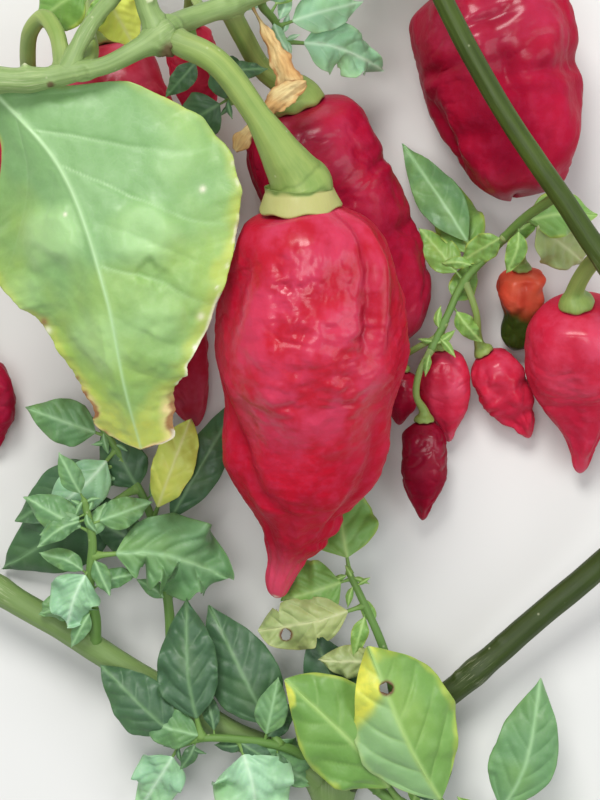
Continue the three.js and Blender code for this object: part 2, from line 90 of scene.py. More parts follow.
def step(low: float, high: float, x: Array) -> Array:
    """A smooth step: 0 below low, 1 above high, and 3t² - 2t³ of the share t between them."""
    t = np.clip((x - low) / (high - low), 0, 1)
    return t * t * (3 - 2 * t)


def hump(x: Array, width: float) -> Array:
    """A bell: e to the power of minus the square of x over width."""
    return np.exp(-((x / width) ** 2))


def wrapped(degrees: Array) -> Array:
    """The difference of two angles, brought between -180 and 180 degrees."""
    return (degrees + 180) % 360 - 180


def spots(x: Array, y: Array, z: Array) -> Array:
    """Places (..., 3) from three coordinates, each spread to their common shape."""
    return np.stack(np.broadcast_arrays(x, y, z), -1)


def wound(count: int, *along: Array) -> tuple[Array, ...]:
    """The angles of a ring, from its underside on, and values along a limb, all spread over one grid."""
    turn = np.pi + np.linspace(0, 2 * np.pi, count, endpoint=False)
    return tuple(np.broadcast_arrays(turn[None], *(values[:, None] for values in along)))


def stem_masks(run: Array, **given: Array) -> dict[str, Array]:
    """The masks of a stem's finish, each of them 0 where none is given."""
    return {name: given.get(name, 0 * run) for name in STEM_MASKS}


def curve_at(table: Table, t: Array) -> Array:
    """Values between a table's rows: a cubic through each, whose slope is that from row to row.

    Args:
        table: rows of [place, value], with the places ascending.
        t: the places asked for.

    Returns:
        One value for each place.
    """
    at, value = np.array(table, float).T
    ahead = np.clip(np.searchsorted(at, t), 1, len(at) - 1)
    low, high = np.maximum(np.arange(len(at)) - 1, 0), np.minimum(np.arange(len(at)) + 1, len(at) - 1)
    slope = (value[high] - value[low]) / (at[high] - at[low])
    span = at[ahead] - at[ahead - 1]
    s = (t - at[ahead - 1]) / span
    return (value[ahead - 1] * (1 + 2 * s) * (1 - s) ** 2 + value[ahead] * s * s * (3 - 2 * s)
            + span * s * (1 - s) * (slope[ahead - 1] * (1 - s) - slope[ahead] * s))


class Ripple:
    """A smooth random field: seeded values at whole-number places, blended between them."""

    SIZE = 32

    def __init__(self, seed: int) -> None:
        """Draws the field's values, between -1 and 1."""
        self.values = np.random.default_rng(seed).uniform(-1, 1, (self.SIZE,) * 3)

    def at(self, places: Array) -> Array:
        """The field: the eight values round each place, weighted by smooth steps.

        Args:
            places: where, (..., 3).

        Returns:
            A value for each place.
        """
        cell = np.floor(places).astype(int)
        part = places - cell
        part = part * part * (3 - 2 * part)
        total = np.zeros(places.shape[:-1])
        for corner in np.ndindex(2, 2, 2):
            weight = np.prod(np.where(corner, part, 1 - part), axis=-1)
            index = (cell + np.array(corner)) % self.SIZE
            total += weight * self.values[index[..., 0], index[..., 1], index[..., 2]]
        return total

    def rough(self, places: Array, octaves: int = 3) -> Array:
        """The field, plus copies of it at twice the fineness and half the height."""
        return sum(self.at(places * 2 ** k + 7.3 * k) / 2 ** k for k in range(octaves))

    def broad(self, places: Array) -> Array:
        """The field and one finer copy of it."""
        return self.rough(places, 2)

    def folds(self, places: Array) -> Array:
        """Sharp creases between soft swellings: the size of the field, so that its zeros are creases."""
        return np.abs(self.rough(places, 2)) ** 0.8 - 0.38


@dataclass
class Route:
    """A smooth line through points, with the way it runs and two directions square to it at each station."""

    places: Array
    along: Array
    up: Array
    side: Array
    length: float

    @classmethod
    def through(cls, points: Array, run: Array, grow: Pair = (0, 0)) -> "Route":
        """The line the solids use: a centripetal Catmull-Rom curve, sampled at shares of its length.

        Args:
            points: the points that it passes, (n, 3).
            run: shares of its length, ascending.
            grow: how far its two ends are drawn out, in millimetres.

        Returns:
            The route, with its first square direction the one nearest to the axis it never runs close to.
        """
        dense, arc = cls.drawn(points, grow)
        places = cls.sampled(dense, arc, run * arc[-1])
        near = 0.004 * arc[-1]
        along = (cls.sampled(dense, arc, np.minimum(run * arc[-1] + near, arc[-1]))
                 - cls.sampled(dense, arc, np.maximum(run * arc[-1] - near, 0)))
        along /= np.linalg.norm(along, axis=1, keepdims=True)
        axes = np.eye(3)[[2, 0, 1]]
        nearest = np.abs(along @ axes.T).max(axis=0)
        axis = axes[int(np.argmax(nearest < STEEPEST))] if (nearest < STEEPEST).any() else axes[1]
        up = axis - along * (along @ axis)[:, None]
        up /= np.linalg.norm(up, axis=1, keepdims=True)
        return cls(places, along, up, np.cross(along, up), float(arc[-1]))

    @classmethod
    def marks(cls, points: Array, grow: Pair = (0, 0)) -> tuple[Array, float]:
        """The share of the length at which each point lies, and the length."""
        _, arc = cls.drawn(points, grow)
        return arc[::FINE_STEPS] / arc[-1], float(arc[-1])

    @classmethod
    def drawn(cls, points: Array, grow: Pair) -> tuple[Array, Array]:
        """The curve, with its ends drawn out.

        Args:
            points: what it passes.
            grow: by how much its start and its end are drawn out.

        Returns:
            Its places, and the length up to each.
        """
        points = np.array(points, float)
        for end, onward, more in ((0, 1, grow[0]), (-1, -2, grow[1])):
            out = points[end] - points[onward]
            points[end] += out / np.linalg.norm(out) * more
        dense = cls.dense(points)
        return dense, np.concatenate([[0], np.cumsum(np.linalg.norm(np.diff(dense, axis=0), axis=1))])

    @staticmethod
    def dense(points: Array) -> Array:
        """The cubics between the points, with end slopes weighted by the roots of the three spans round.

        Args:
            points: what the curve passes.

        Returns:
            Many places on it.
        """
        p = np.vstack([2 * points[0] - points[1], points, 2 * points[-1] - points[-2]])
        span = np.sqrt(np.linalg.norm(np.diff(p, axis=0), axis=1))[:, None]
        before, here, after = span[:-2], span[1:-1], span[2:]
        x0, x1, x2, x3 = p[:-3], p[1:-2], p[2:-1], p[3:]
        out = ((x1 - x0) / before - (x2 - x0) / (before + here) + (x2 - x1) / here) * here
        into = ((x2 - x1) / here - (x3 - x1) / (here + after) + (x3 - x2) / after) * here
        s = np.linspace(0, 1, FINE_STEPS, endpoint=False)[None, :, None]
        curve = (x1[:, None] * (2 * s ** 3 - 3 * s ** 2 + 1) + x2[:, None] * (3 * s ** 2 - 2 * s ** 3)
                 + out[:, None] * (s ** 3 - 2 * s ** 2 + s) + into[:, None] * (s ** 3 - s ** 2))
        return np.vstack([curve.reshape(-1, 3), points[-1]])

    @staticmethod
    def sampled(dense: Array, arc: Array, at: Array) -> Array:
        """Places at given lengths along a row of places."""
        return np.stack([np.interp(at, arc, dense[:, k]) for k in range(3)], axis=1)

    def round_ring(self, angle: Array, radius: Array) -> Array:
        """A tube's places: centre + radius (cos angle · up + sin angle · side), (stations, angles, 3)."""
        outward = np.cos(angle)[..., None] * self.up[:, None] + np.sin(angle)[..., None] * self.side[:, None]
        return self.places[:, None] + radius[..., None] * outward

    def blade(self, sideways: Array, height: Array) -> Array:
        """A blade's places: place + sideways · side + height · up, (stations, places across, 3)."""
        return (self.places[:, None] + self.side[:, None] * sideways[..., None]
                + self.up[:, None] * height[..., None])


@dataclass
class Core:
    """The middle line of a round limb and its radius at each place, for what grows out of it."""

    places: Array
    radius: Array

    def beyond(self, places: Array) -> Array:
        """How far places (n, 3) lie outside it: the least distance to its line, less its radius there."""
        return (np.linalg.norm(places[:, None] - self.places[None], axis=2) - self.radius).min(axis=1)


def welded(rings: Array, centres: Array, own: float, cores: list[Core]) -> Array:
    """Raises a skin where it nears other limbs, so that they flow together as in a smooth union.

    Where e is how much nearer a point is to its own limb than to the other, it rises by the square of
    (k - e) over 4k, for a reach k that is a little less than the thinner limb's radius, and sinks inside.

    Args:
        rings: the skin's places, (stations, angles, 3).
        centres: the middle of each ring.
        own: the limb's radius.
        cores: the limbs that may be near.

    Returns:
        The skin's new places.
    """
    outward = rings - centres[:, None]
    outward /= np.linalg.norm(outward, axis=-1, keepdims=True)
    flat, outward = rings.reshape(-1, 3), outward.reshape(-1, 3)
    rise = np.zeros(len(flat))
    for core in cores:
        reach = WELD * min(own, float(core.radius.max()))
        room = reach + core.radius.max()
        low, high = core.places.min(axis=0) - room, core.places.max(axis=0) + room
        near = np.flatnonzero(((flat > low) & (flat < high)).all(axis=1))
        if not len(near):
            continue
        lift = np.zeros(len(near))
        for _ in range(3):
            e = core.beyond(flat[near] + lift[:, None] * outward[near]) - lift
            lift = np.where(e > 0, np.maximum(reach - e, 0) ** 2 / (4 * reach), np.maximum(reach / 4 + e, 0))
        rise[near] = np.maximum(rise[near], lift)
    return (flat + rise[:, None] * outward).reshape(rings.shape)


def stations(length: float, pitch: float, start: float, end: float) -> Array:
    """Shares of a limb's length: even ones, and closer ones over its rounded start and end."""
    cap = 1 - np.cos(np.linspace(0, np.pi / 2, CAP_STEPS + 1)[:-1])
    even = np.linspace(start / length, 1 - end / length, int(length / pitch))
    return np.concatenate([cap * start / length, even, 1 - (cap * end / length)[::-1]])


def domed(run: Array, length: float, start: float, end: float) -> Array:
    """How full a limb is near its ends: a quarter circle over the lengths given."""
    near_start = np.clip(run * length / start, 0, 1)
    near_end = np.clip((1 - run) * length / end, 0, 1)
    return np.maximum(np.sqrt(near_start * (2 - near_start)) * np.sqrt(near_end * (2 - near_end)), 0.02)


class Shell:
    """Closed bodies for one mesh, each of them rings of points with one point at each end."""

    def __init__(self) -> None:
        """Starts with no body."""
        self.points: list[Array] = []
        self.corners: list[Array] = []
        self.counts: list[Array] = []
        self.maps: list[Array] = []
        self.masks: list[dict[str, Array]] = []
        self.total = 0

    def add(self, rings: Array, masks: dict[str, Array], size: Pair,
            gone: Array | None = None) -> "Shell":
        """Adds one body. A face's corners run round the ring and then along, which turns it outwards.

        Args:
            rings: its places in millimetres, (rings, points in a ring, 3).
            masks: named values, one for each place.
            size: the map's width round the ring and its length, in millimetres.
            gone: which faces of a blade's upper side are holes, and the lower side's too.

        Returns:
            The shell.
        """
        rows, columns = rings.shape[:2]
        tips = rows * columns, rows * columns + 1
        self.points.append(np.vstack([rings.reshape(-1, 3), rings[0].mean(axis=0), rings[-1].mean(axis=0)]))
        place = np.arange(rows * columns).reshape(rows, columns)
        following = np.roll(place, -1, axis=1)
        chart = np.stack(np.meshgrid(np.arange(columns + 1) / columns * size[0],
                                     np.linspace(0, 1, rows) * size[1]), axis=-1)
        near, far = chart[:, :-1], chart[:, 1:]
        quads = np.stack([place[:-1], following[:-1], following[1:], place[1:]], axis=-1)
        quad_map = np.stack([near[:-1], far[:-1], far[1:], near[1:]], axis=2)
        walls = np.empty((0, 4), int)
        if gone is not None:
            kept = np.ones((rows - 1, columns), bool)
            kept[:, :gone.shape[1]] = ~gone
            kept[:, gone.shape[1] + 1:-1] = ~gone[:, ::-1]
            walls = self.walls(place, gone)
            quads, quad_map = quads[kept], quad_map[kept]
        middle = (near + far) / 2
        fans = [np.stack([np.full(columns, tips[0]), following[0], place[0]], axis=-1),
                np.stack([np.full(columns, tips[1]), place[-1], following[-1]], axis=-1)]
        fan_maps = [np.stack([middle[0], far[0], near[0]], axis=1),
                    np.stack([middle[-1], near[-1], far[-1]], axis=1)]
        faces = quads.size // 4 + len(walls)
        self.corners.append(np.concatenate([part.ravel() for part in (quads, walls, *fans)]) + self.total)
        self.counts.append(np.repeat([4, 3], [faces, 2 * columns]))
        maps = quad_map, near.reshape(-1, 2)[walls], *fan_maps
        self.maps.append(np.vstack([part.reshape(-1, 2) for part in maps]))
        spread = {name: np.broadcast_to(mask, (rows, columns)) for name, mask in masks.items()}
        self.masks.append({name: np.append(mask.ravel(), [mask[0].mean(), mask[-1].mean()])
                           for name, mask in spread.items()})
        self.total += rows * columns + 2
        return self

    @staticmethod
    def walls(place: Array, gone: Array) -> Array:
        """The faces through a blade round its holes, between an upper edge and the lower edge under it.

        Args:
            place: the numbers of its places.
            gone: which faces of its upper side are holes.

        Returns:
            The places of each face.
        """
        upper, lower = place[:, :gone.shape[1] + 1], place[:, gone.shape[1] + 1:][:, ::-1]
        rows, columns = np.pad(gone, ((1, 1), (0, 0))), np.pad(gone, ((0, 0), (1, 1)))
        found = []
        for ahead, behind, down, right in (
                (rows[1:], rows[:-1], 0, 1), (columns[:, 1:], columns[:, :-1], 1, 0)):
            for opened, turned in ((ahead & ~behind, right), (behind & ~ahead, down)):
                i, j = np.nonzero(opened)
                one, two = ((i, j), (i + down, j + right))[::1 if turned else -1]
                found.append(np.stack([upper[one], upper[two], lower[two], lower[one]], axis=-1))
        return np.concatenate(found)

    def publish(self, name: str, material: Material, slot: str, nodes: tuple[str, ...]) -> None:
        """Makes the mesh and its object, which stands for the nodes named.

        Args:
            name: the piece's name.
            material: its finish.
            slot: the record's slot that the finish belongs to; not used.
            nodes: the solids that it replaces.
        """
        mesh = bpy.data.meshes.new(name)
        points = (np.vstack(self.points) + LAYOUT_SHIFT) * MM
        corners, counts = np.concatenate(self.corners), np.concatenate(self.counts)
        used = np.isin(np.arange(len(points)), corners)
        points, corners = points[used], (np.cumsum(used) - 1)[corners]
        mesh.vertices.add(len(points))
        mesh.vertices.foreach_set("co", points.astype(np.float32).ravel())
        mesh.loops.add(len(corners))
        mesh.loops.foreach_set("vertex_index", corners.astype(np.int32))
        mesh.polygons.add(len(counts))
        starts = np.concatenate([[0], np.cumsum(counts)[:-1]])
        mesh.polygons.foreach_set("loop_start", starts.astype(np.int32))
        mesh.polygons.foreach_set("use_smooth", np.ones(len(counts), bool))
        mesh.update(calc_edges=True)
        layer = mesh.uv_layers.new(name="UVMap")
        layer.uv.foreach_set("vector", np.vstack(self.maps).astype(np.float32).ravel())
        for mask in self.masks[0]:
            values = np.concatenate([body[mask] for body in self.masks])[used].astype(np.float32)
            mesh.attributes.new(mask, "FLOAT", "POINT").data.foreach_set("value", values)
        mesh.materials.append(material)
        piece = bpy.data.objects.new(name, mesh)
        bpy.context.scene.collection.objects.link(piece)
        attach(piece, "root")
        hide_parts(*nodes)
        LOG.info("%s: %d triangles", name, int((counts - 2).sum()))


class Shader:
    """A material's nodes, with short calls for those it is built from."""

    def __init__(self, name: str) -> None:
        """Starts a material with its Principled shader."""
        self.material = bpy.data.materials.new(name)
        self.material.use_nodes = True
        self.tree = self.material.node_tree
        self.surface = self.tree.nodes["Principled BSDF"]
        self.place = self.node("ShaderNodeTexCoord").outputs["Object"]
        self.map = self.node("ShaderNodeTexCoord").outputs["UV"]

    def node(self, kind: str, inputs: dict | None = None, **settings: object) -> bpy.types.Node:
        """Adds a node.

        Args:
            kind: its type.
            inputs: values or sockets, by the input's identifier or name.
            settings: its other properties.

        Returns:
            The node.
        """
        node = self.tree.nodes.new(kind)
        for key, value in settings.items():
            setattr(node, key, value)
        self.feed(node, inputs or {})
        return node

    def feed(self, node: bpy.types.Node, inputs: dict) -> None:
        """Sets or links inputs of a node.

        Args:
            node: the node.
            inputs: by identifier or name, where three whole numbers stand for a Colour.
        """
        for key, value in inputs.items():
            known = {s.name: s for s in reversed(node.inputs[:])} | {s.identifier: s for s in node.inputs}
            socket = known[key]
            if isinstance(value, Socket):
                self.tree.links.new(value, socket)
            elif isinstance(value, tuple) and len(value) == 3 and socket.type == "RGBA":
                socket.default_value = (*(linear(value) if isinstance(value[0], int) else value), 1)
            else:
                socket.default_value = value

    def mask(self, name: str) -> Socket:
        """A named value of the mesh."""
        return self.node("ShaderNodeAttribute", attribute_name=name).outputs["Fac"]

    def mix(self, share: object, first: object, second: object) -> Socket:
        """A colour between two others."""
        inputs = {"Factor_Float": share, "A_Color": first, "B_Color": second}
        node = self.node("ShaderNodeMix", inputs, data_type="RGBA")
        return next(s for s in node.outputs if s.identifier == "Result_Color")

    def layered(self, colour: object, *layers: tuple[object, object]) -> Socket:
        """A colour with others laid over it, each by its share or by the name of its mask."""
        for share, tone in layers:
            colour = self.mix(self.mask(share) if isinstance(share, str) else share, colour, tone)
        return colour

    def joined(self, kind: str, first: object, second: object) -> Socket:
        """Two values joined by a Math node, where a product stays within 0 and 1."""
        inputs = {"Value": first, "Value_001": second}
        return self.node("ShaderNodeMath", inputs, operation=kind, use_clamp=kind == "MULTIPLY").outputs[0]

    def part(self, value: object, share: object) -> Socket:
        """A value, or the mask of that name, times a share."""
        return self.joined("MULTIPLY", self.mask(value) if isinstance(value, str) else value, share)

    def blend(self, *parts: tuple[object, float]) -> Socket:
        """The sum of values, each times its share."""
        total, *others = [self.part(value, share) for value, share in parts]
        for other in others:
            total = self.joined("ADD", total, other)
        return total

    def spread(self, value: object, low: object, high: object, to: Pair = (0, 1)) -> Socket:
        """A value's range from low to high, laid smoothly over another."""
        inputs = {"Value": value, "From Min": low, "From Max": high, "To Min": to[0], "To Max": to[1]}
        return self.node("ShaderNodeMapRange", inputs, interpolation_type="SMOOTHSTEP").outputs["Result"]

    def noise(self, vector: object, seed: object, scale: object, detail: float, roughness: float) -> Socket:
        """Noise in four directions, the fourth of which is a seed."""
        inputs = {"Vector": vector, "W": seed, "Scale": scale, "Detail": detail, "Roughness": roughness}
        return self.node("ShaderNodeTexNoise", inputs, noise_dimensions="4D").outputs[0]

    def cells(self, vector: object, scale: object, feature: str) -> Socket:
        """The distance from the middles or the edges of scattered cells."""
        inputs = {"Vector": vector, "Scale": scale}
        return self.node("ShaderNodeTexVoronoi", inputs, feature=feature).outputs["Distance"]

    def effect(self, group: bpy.types.NodeTree, vector: Socket, **inputs: float) -> Socket:
        """Places a shared effect and gives its output, with its inputs by their names in small letters."""
        node = self.node("ShaderNodeGroup", node_tree=group)
        self.feed(node, {"Vector": vector} | {name.title(): value for name, value in inputs.items()})
        return node.outputs[0]

    def raised(self, height: object, distance: float, strength: float) -> Socket:
        """A normal from a height, where a height of 1 stands distance millimetres proud."""
        inputs = {"Height": height, "Distance": distance * MM, "Strength": strength}
        return self.node("ShaderNodeBump", inputs).outputs["Normal"]

    def dressed(self, colour: Socket, roughness: Socket | float, **inputs: object) -> Material:
        """Sets the surface, with further inputs by their names with _ for blanks, and gives the material."""
        self.feed(self.surface, {"Base Color": colour, "Roughness": roughness}
                  | {name.replace("_", " "): value for name, value in inputs.items()})
        return self.material


class Effect(Shader):
    """A shared node group that puts out one value over the surface."""

    def __init__(self, name: str, inputs: dict[str, object], output: str) -> None:
        """Starts the group.

        Args:
            name: its name.
            inputs: by their names, where a tuple stands for a vector.
            output: the name of its output.
        """
        self.tree = bpy.data.node_groups.new(name, "ShaderNodeTree")
        for key, value in inputs.items():
            kind = "NodeSocketVector" if isinstance(value, tuple) else "NodeSocketFloat"
            socket = self.tree.interface.new_socket(key, in_out="INPUT", socket_type=kind)
            socket.default_value = value
        self.tree.interface.new_socket(output, in_out="OUTPUT", socket_type="NodeSocketFloat")
        self.given = self.node("NodeGroupInput").outputs
        self.end = self.node("NodeGroupOutput")

    def gives(self, socket: Socket) -> bpy.types.NodeTree:
        """Joins the value to the group's output and returns the group."""
        self.tree.links.new(socket, self.end.inputs[0])
        return self.tree


def blotches_group() -> bpy.types.NodeTree:
    """Soft blotches: noise whose middle range is spread over 0 to 1."""
    inputs = {"Vector": (0, 0, 0), "Scale": 100.0, "Seed": 0.0, "Low": 0.35, "High": 0.65}
    effect = Effect("blotches", inputs, "Mask")
    vector, scale, seed, low, high = effect.given[:5]
    return effect.gives(effect.spread(effect.noise(vector, seed, scale, 3.0, 0.55), low, high))


def flecks_group() -> bpy.types.NodeTree:
    """Small specks: places closer to a scattered point than a share of the spacing."""
    effect = Effect("flecks", {"Vector": (0, 0, 0), "Scale": 500.0, "Reach": 0.15}, "Mask")
    vector, scale, reach = effect.given[:3]
    return effect.gives(effect.spread(effect.cells(vector, scale, "F1"), reach, 0.0))


def netting_group() -> bpy.types.NodeTree:
    """A fine net, such as the smallest veins: 1 in the cells and 0 on the lines between them."""
    effect = Effect("netting", {"Vector": (0, 0, 0), "Scale": 600.0, "Line": 0.12}, "Height")
    vector, scale, line = effect.given[:3]
    return effect.gives(effect.spread(effect.cells(vector, scale, "DISTANCE_TO_EDGE"), 0.0, line))


def fibres_group() -> bpy.types.NodeTree:
    """Streaks that run lengthwise: noise on a map squeezed along its second direction."""
    effect = Effect("fibres", {"Vector": (0, 0, 0), "Across": 2.0, "Length": 0.12, "Seed": 0.0}, "Mask")
    vector, across, length, seed = effect.given[:4]
    scale = effect.node("ShaderNodeCombineXYZ", {"X": across, "Y": length, "Z": 1.0})
    inputs = {"Vector": vector, "Vector_001": scale.outputs[0]}
    turned = effect.node("ShaderNodeVectorMath", inputs, operation="MULTIPLY")
    return effect.gives(effect.noise(turned.outputs[0], seed, 1.0, 4.0, 0.6))


BLOTCHES, FLECKS, NETTING, FIBRES = blotches_group(), flecks_group(), netting_group(), fibres_group()


@dataclass(frozen=True)
class FleshFinish:
    """The skin of a pod: mottled, with painted shade in its creases, painted sheen on its lit front and a
    painted lighter tail, a pale dot at the tip, and semi-gloss.
    """

    name: str
    skin: Colour
    # deep is a darker mottle and also the painted shade in creases; the third colour is a lighter mottle and
    # also the painted sheen; tail is painted light
    deep: Colour
    sheen_and_mottle: Colour
    green: Colour = (52, 66, 22)
    tail: Colour = (236, 84, 116)
    tip: Colour = (240, 226, 208)

    def build(self) -> Material:
        """Makes the material. The masks are hollow (painted shade), tip, tail (painted light), sheen (painted
        sheen, and the coat's weight) and unripe.
        """
        s = Shader(self.name)
        broad = s.effect(BLOTCHES, s.place, scale=95.0, low=0.34, high=0.7)
        small = s.effect(BLOTCHES, s.place, scale=520.0, seed=3.0, low=0.4, high=0.75)
        sheen_patches = s.effect(BLOTCHES, s.place, scale=150.0, seed=7.0, low=0.4, high=0.6)
        pits = s.effect(NETTING, s.place, scale=1100.0, line=0.35)
        sheen = s.mask("sheen")
        # painted sheen: a lighter pink laid in patches where the sheen mask is high
        colour = s.layered(
            self.skin, (s.part(broad, 0.45), self.deep),
            (s.part(sheen_patches, s.spread(sheen, 0.0, 1.0, (0.05, 0.45))), self.sheen_and_mottle),
            (s.part(small, 0.25), self.sheen_and_mottle), (s.part("hollow", 0.7), self.deep), ("tail", self.tail),
            ("unripe", self.green), ("tip", self.tip))
        return s.dressed(
            colour, s.spread(small, 0.0, 1.0, (0.36, 0.48)), IOR=1.34, Specular_IOR_Level=0.06,
            Specular_Tint=(1.0, 0.72, 0.8), Coat_Weight=s.spread(sheen, 0.0, 1.0, (0.0, 0.8)),
            Coat_Roughness=0.24, Coat_IOR=1.42, Subsurface_Weight=0.1, Subsurface_Scale=0.0012,
            Subsurface_Radius=(1.0, 0.25, 0.15),
            Normal=s.raised(s.blend((pits, 0.3), (small, 0.7)), 0.08, 0.6))


@dataclass(frozen=True)
class StemFinish:
    """Green stem skin: lengthwise fibres, pale ones near the joints, brown scars, a few pale specks, painted
    shade near the ground, and painted shade in the groove under a stalk's rim.

    A stalk takes on the joint's two colours where it leaves its limb."""

    name: str
    light: Colour
    dark: Colour
    joint: tuple[Colour, Colour] = ((150, 168, 104), (108, 134, 72))
    pale: Colour = (206, 210, 172)
    scar: Colour = (98, 84, 54)
    rim: Colour = (174, 172, 108)
    # groove is painted shade in the groove under a stalk's rim
    groove: Colour = (84, 110, 44)

    def build(self) -> Material:
        """Makes the material. Its masks are STEM_MASKS."""
        s = Shader(self.name)
        strand = s.effect(FIBRES, s.map, across=0.9, length=0.05)
        thread = s.effect(FIBRES, s.map, across=4.0, length=0.25, seed=5.0)
        broad = s.effect(BLOTCHES, s.place, scale=110.0, seed=2.0, low=0.3, high=0.7)
        specks = s.effect(FLECKS, s.place, scale=300.0, reach=0.1)
        shade = s.blend((s.spread(strand, 0.3, 0.7), 0.5), (broad, 0.35), (s.spread(thread, 0.3, 0.7), 0.15))
        wisps = s.part("knot", s.spread(thread, 0.5, 0.66))
        # the local shade is the fibres' random tone; the mask shade is painted shade near the ground, and
        # groove is painted shade in the groove under a stalk's rim
        colour = s.layered(
            s.mix(shade, self.dark, self.light), ("base", s.mix(shade, self.joint[1], self.joint[0])),
            ("shade", self.dark), (s.part(wisps, 0.35), self.pale), (s.part(specks, 0.5), self.pale),
            ("groove", self.groove),
            ("rim", s.mix(s.spread(broad, 0.0, 1.0, (0.0, 0.6)), self.rim, self.light)),
            ("scar", self.scar), ("bud", self.pale))
        return s.dressed(
            colour, s.spread(thread, 0.3, 0.7, (0.42, 0.58)), IOR=1.42, Subsurface_Weight=0.08,
            Subsurface_Scale=0.001, Subsurface_Radius=(0.6, 1.0, 0.3),
            Normal=s.raised(s.blend((strand, 0.6), (thread, 0.4)), 0.3, 0.5))


@dataclass(frozen=True)
class LeafFinish:
    """A leaf: mottled between paler veins, with its own margin colour, a paler underside and a satin skin.
    The underside's colour is also painted light where a blade lays it on its upper side.
    """

    name: str
    base: Colour
    shade: Colour
    vein: Colour
    edge: Colour
    warm: Colour
    # under is the underside's colour, and also painted light where it is laid on the upper side
    under: Colour = (140, 166, 118)
    scorch: Colour = (168, 128, 74)
    char: Colour = (104, 66, 44)
    fleck: Colour = (222, 220, 196)
    gloss: float = 0.4

    def build(self) -> Material:
        """Makes the material. The masks are vein, edge, under (the underside, and painted light on the upper
        side), scorch, char, fleck, warm and tone.
        """
        s = Shader(self.name)
        broad = s.effect(BLOTCHES, s.place, scale=60.0, low=0.34, high=0.66)
        small = s.effect(BLOTCHES, s.place, scale=380.0, seed=4.0, low=0.3, high=0.7)
        cells = s.effect(NETTING, s.place, scale=900.0, line=0.2)
        colour = s.layered(
            self.base, (s.part(broad, 0.45), self.shade), ("tone", self.shade),
            (s.part("warm", s.spread(broad, 0.0, 1.0, (1.0, 0.45))), self.warm),
            (s.part(small, 0.22), self.shade),
            # the under colour: the real underside, and painted light where a mesh lays it on the upper side
            (s.part("edge", s.spread(small, 0.0, 1.0, (0.65, 1.0))), self.edge), ("under", self.under),
            (s.spread(cells, 0.0, 1.0, (0.03, 0.0)), self.vein), ("vein", self.vein),
            (s.part("scorch", s.spread(small, 0.0, 1.0, (0.6, 1.0))), self.scorch), ("char", self.char),
            ("fleck", self.fleck))
        return s.dressed(
            colour, s.spread(small, 0.0, 1.0, (self.gloss, self.gloss + 0.14)), IOR=1.45,
            Subsurface_Weight=0.1, Subsurface_Scale=0.0008, Subsurface_Radius=(0.6, 1.0, 0.3),
            Normal=s.raised(s.blend((cells, 0.25), (small, 0.75)), 0.05, 0.6))


@dataclass(frozen=True)
class DryFinish:
    """A dead leaf: straw with tan patches and darker crumpled edges, dull and crinkled."""

    name: str
    straw: Colour
    tan: Colour
    edge: Colour

    def build(self) -> Material:
        """Makes the material. The mask is edge."""
        s = Shader(self.name)
        patch = s.effect(BLOTCHES, s.place, scale=220.0, seed=1.0)
        streak = s.effect(FIBRES, s.map, across=2.5, length=0.5)
        crumpled = s.part(s.spread(streak, 0.4, 0.65), 0.4)
        colour = s.layered(self.straw, (patch, self.tan), (crumpled, self.edge), ("edge", self.edge))
        return s.dressed(colour, s.spread(streak, 0.3, 0.7, (0.75, 0.92)), Normal=s.raised(streak, 0.15, 0.6))


@dataclass(frozen=True)
class FloorFinish:
    """The studio floor: pale, plain and dull."""

    tone: Triple = (0.72, 0.72, 0.7)

    def build(self) -> Material:
        """Makes the material."""
        return Shader("pale_floor").dressed(self.tone, 0.9)


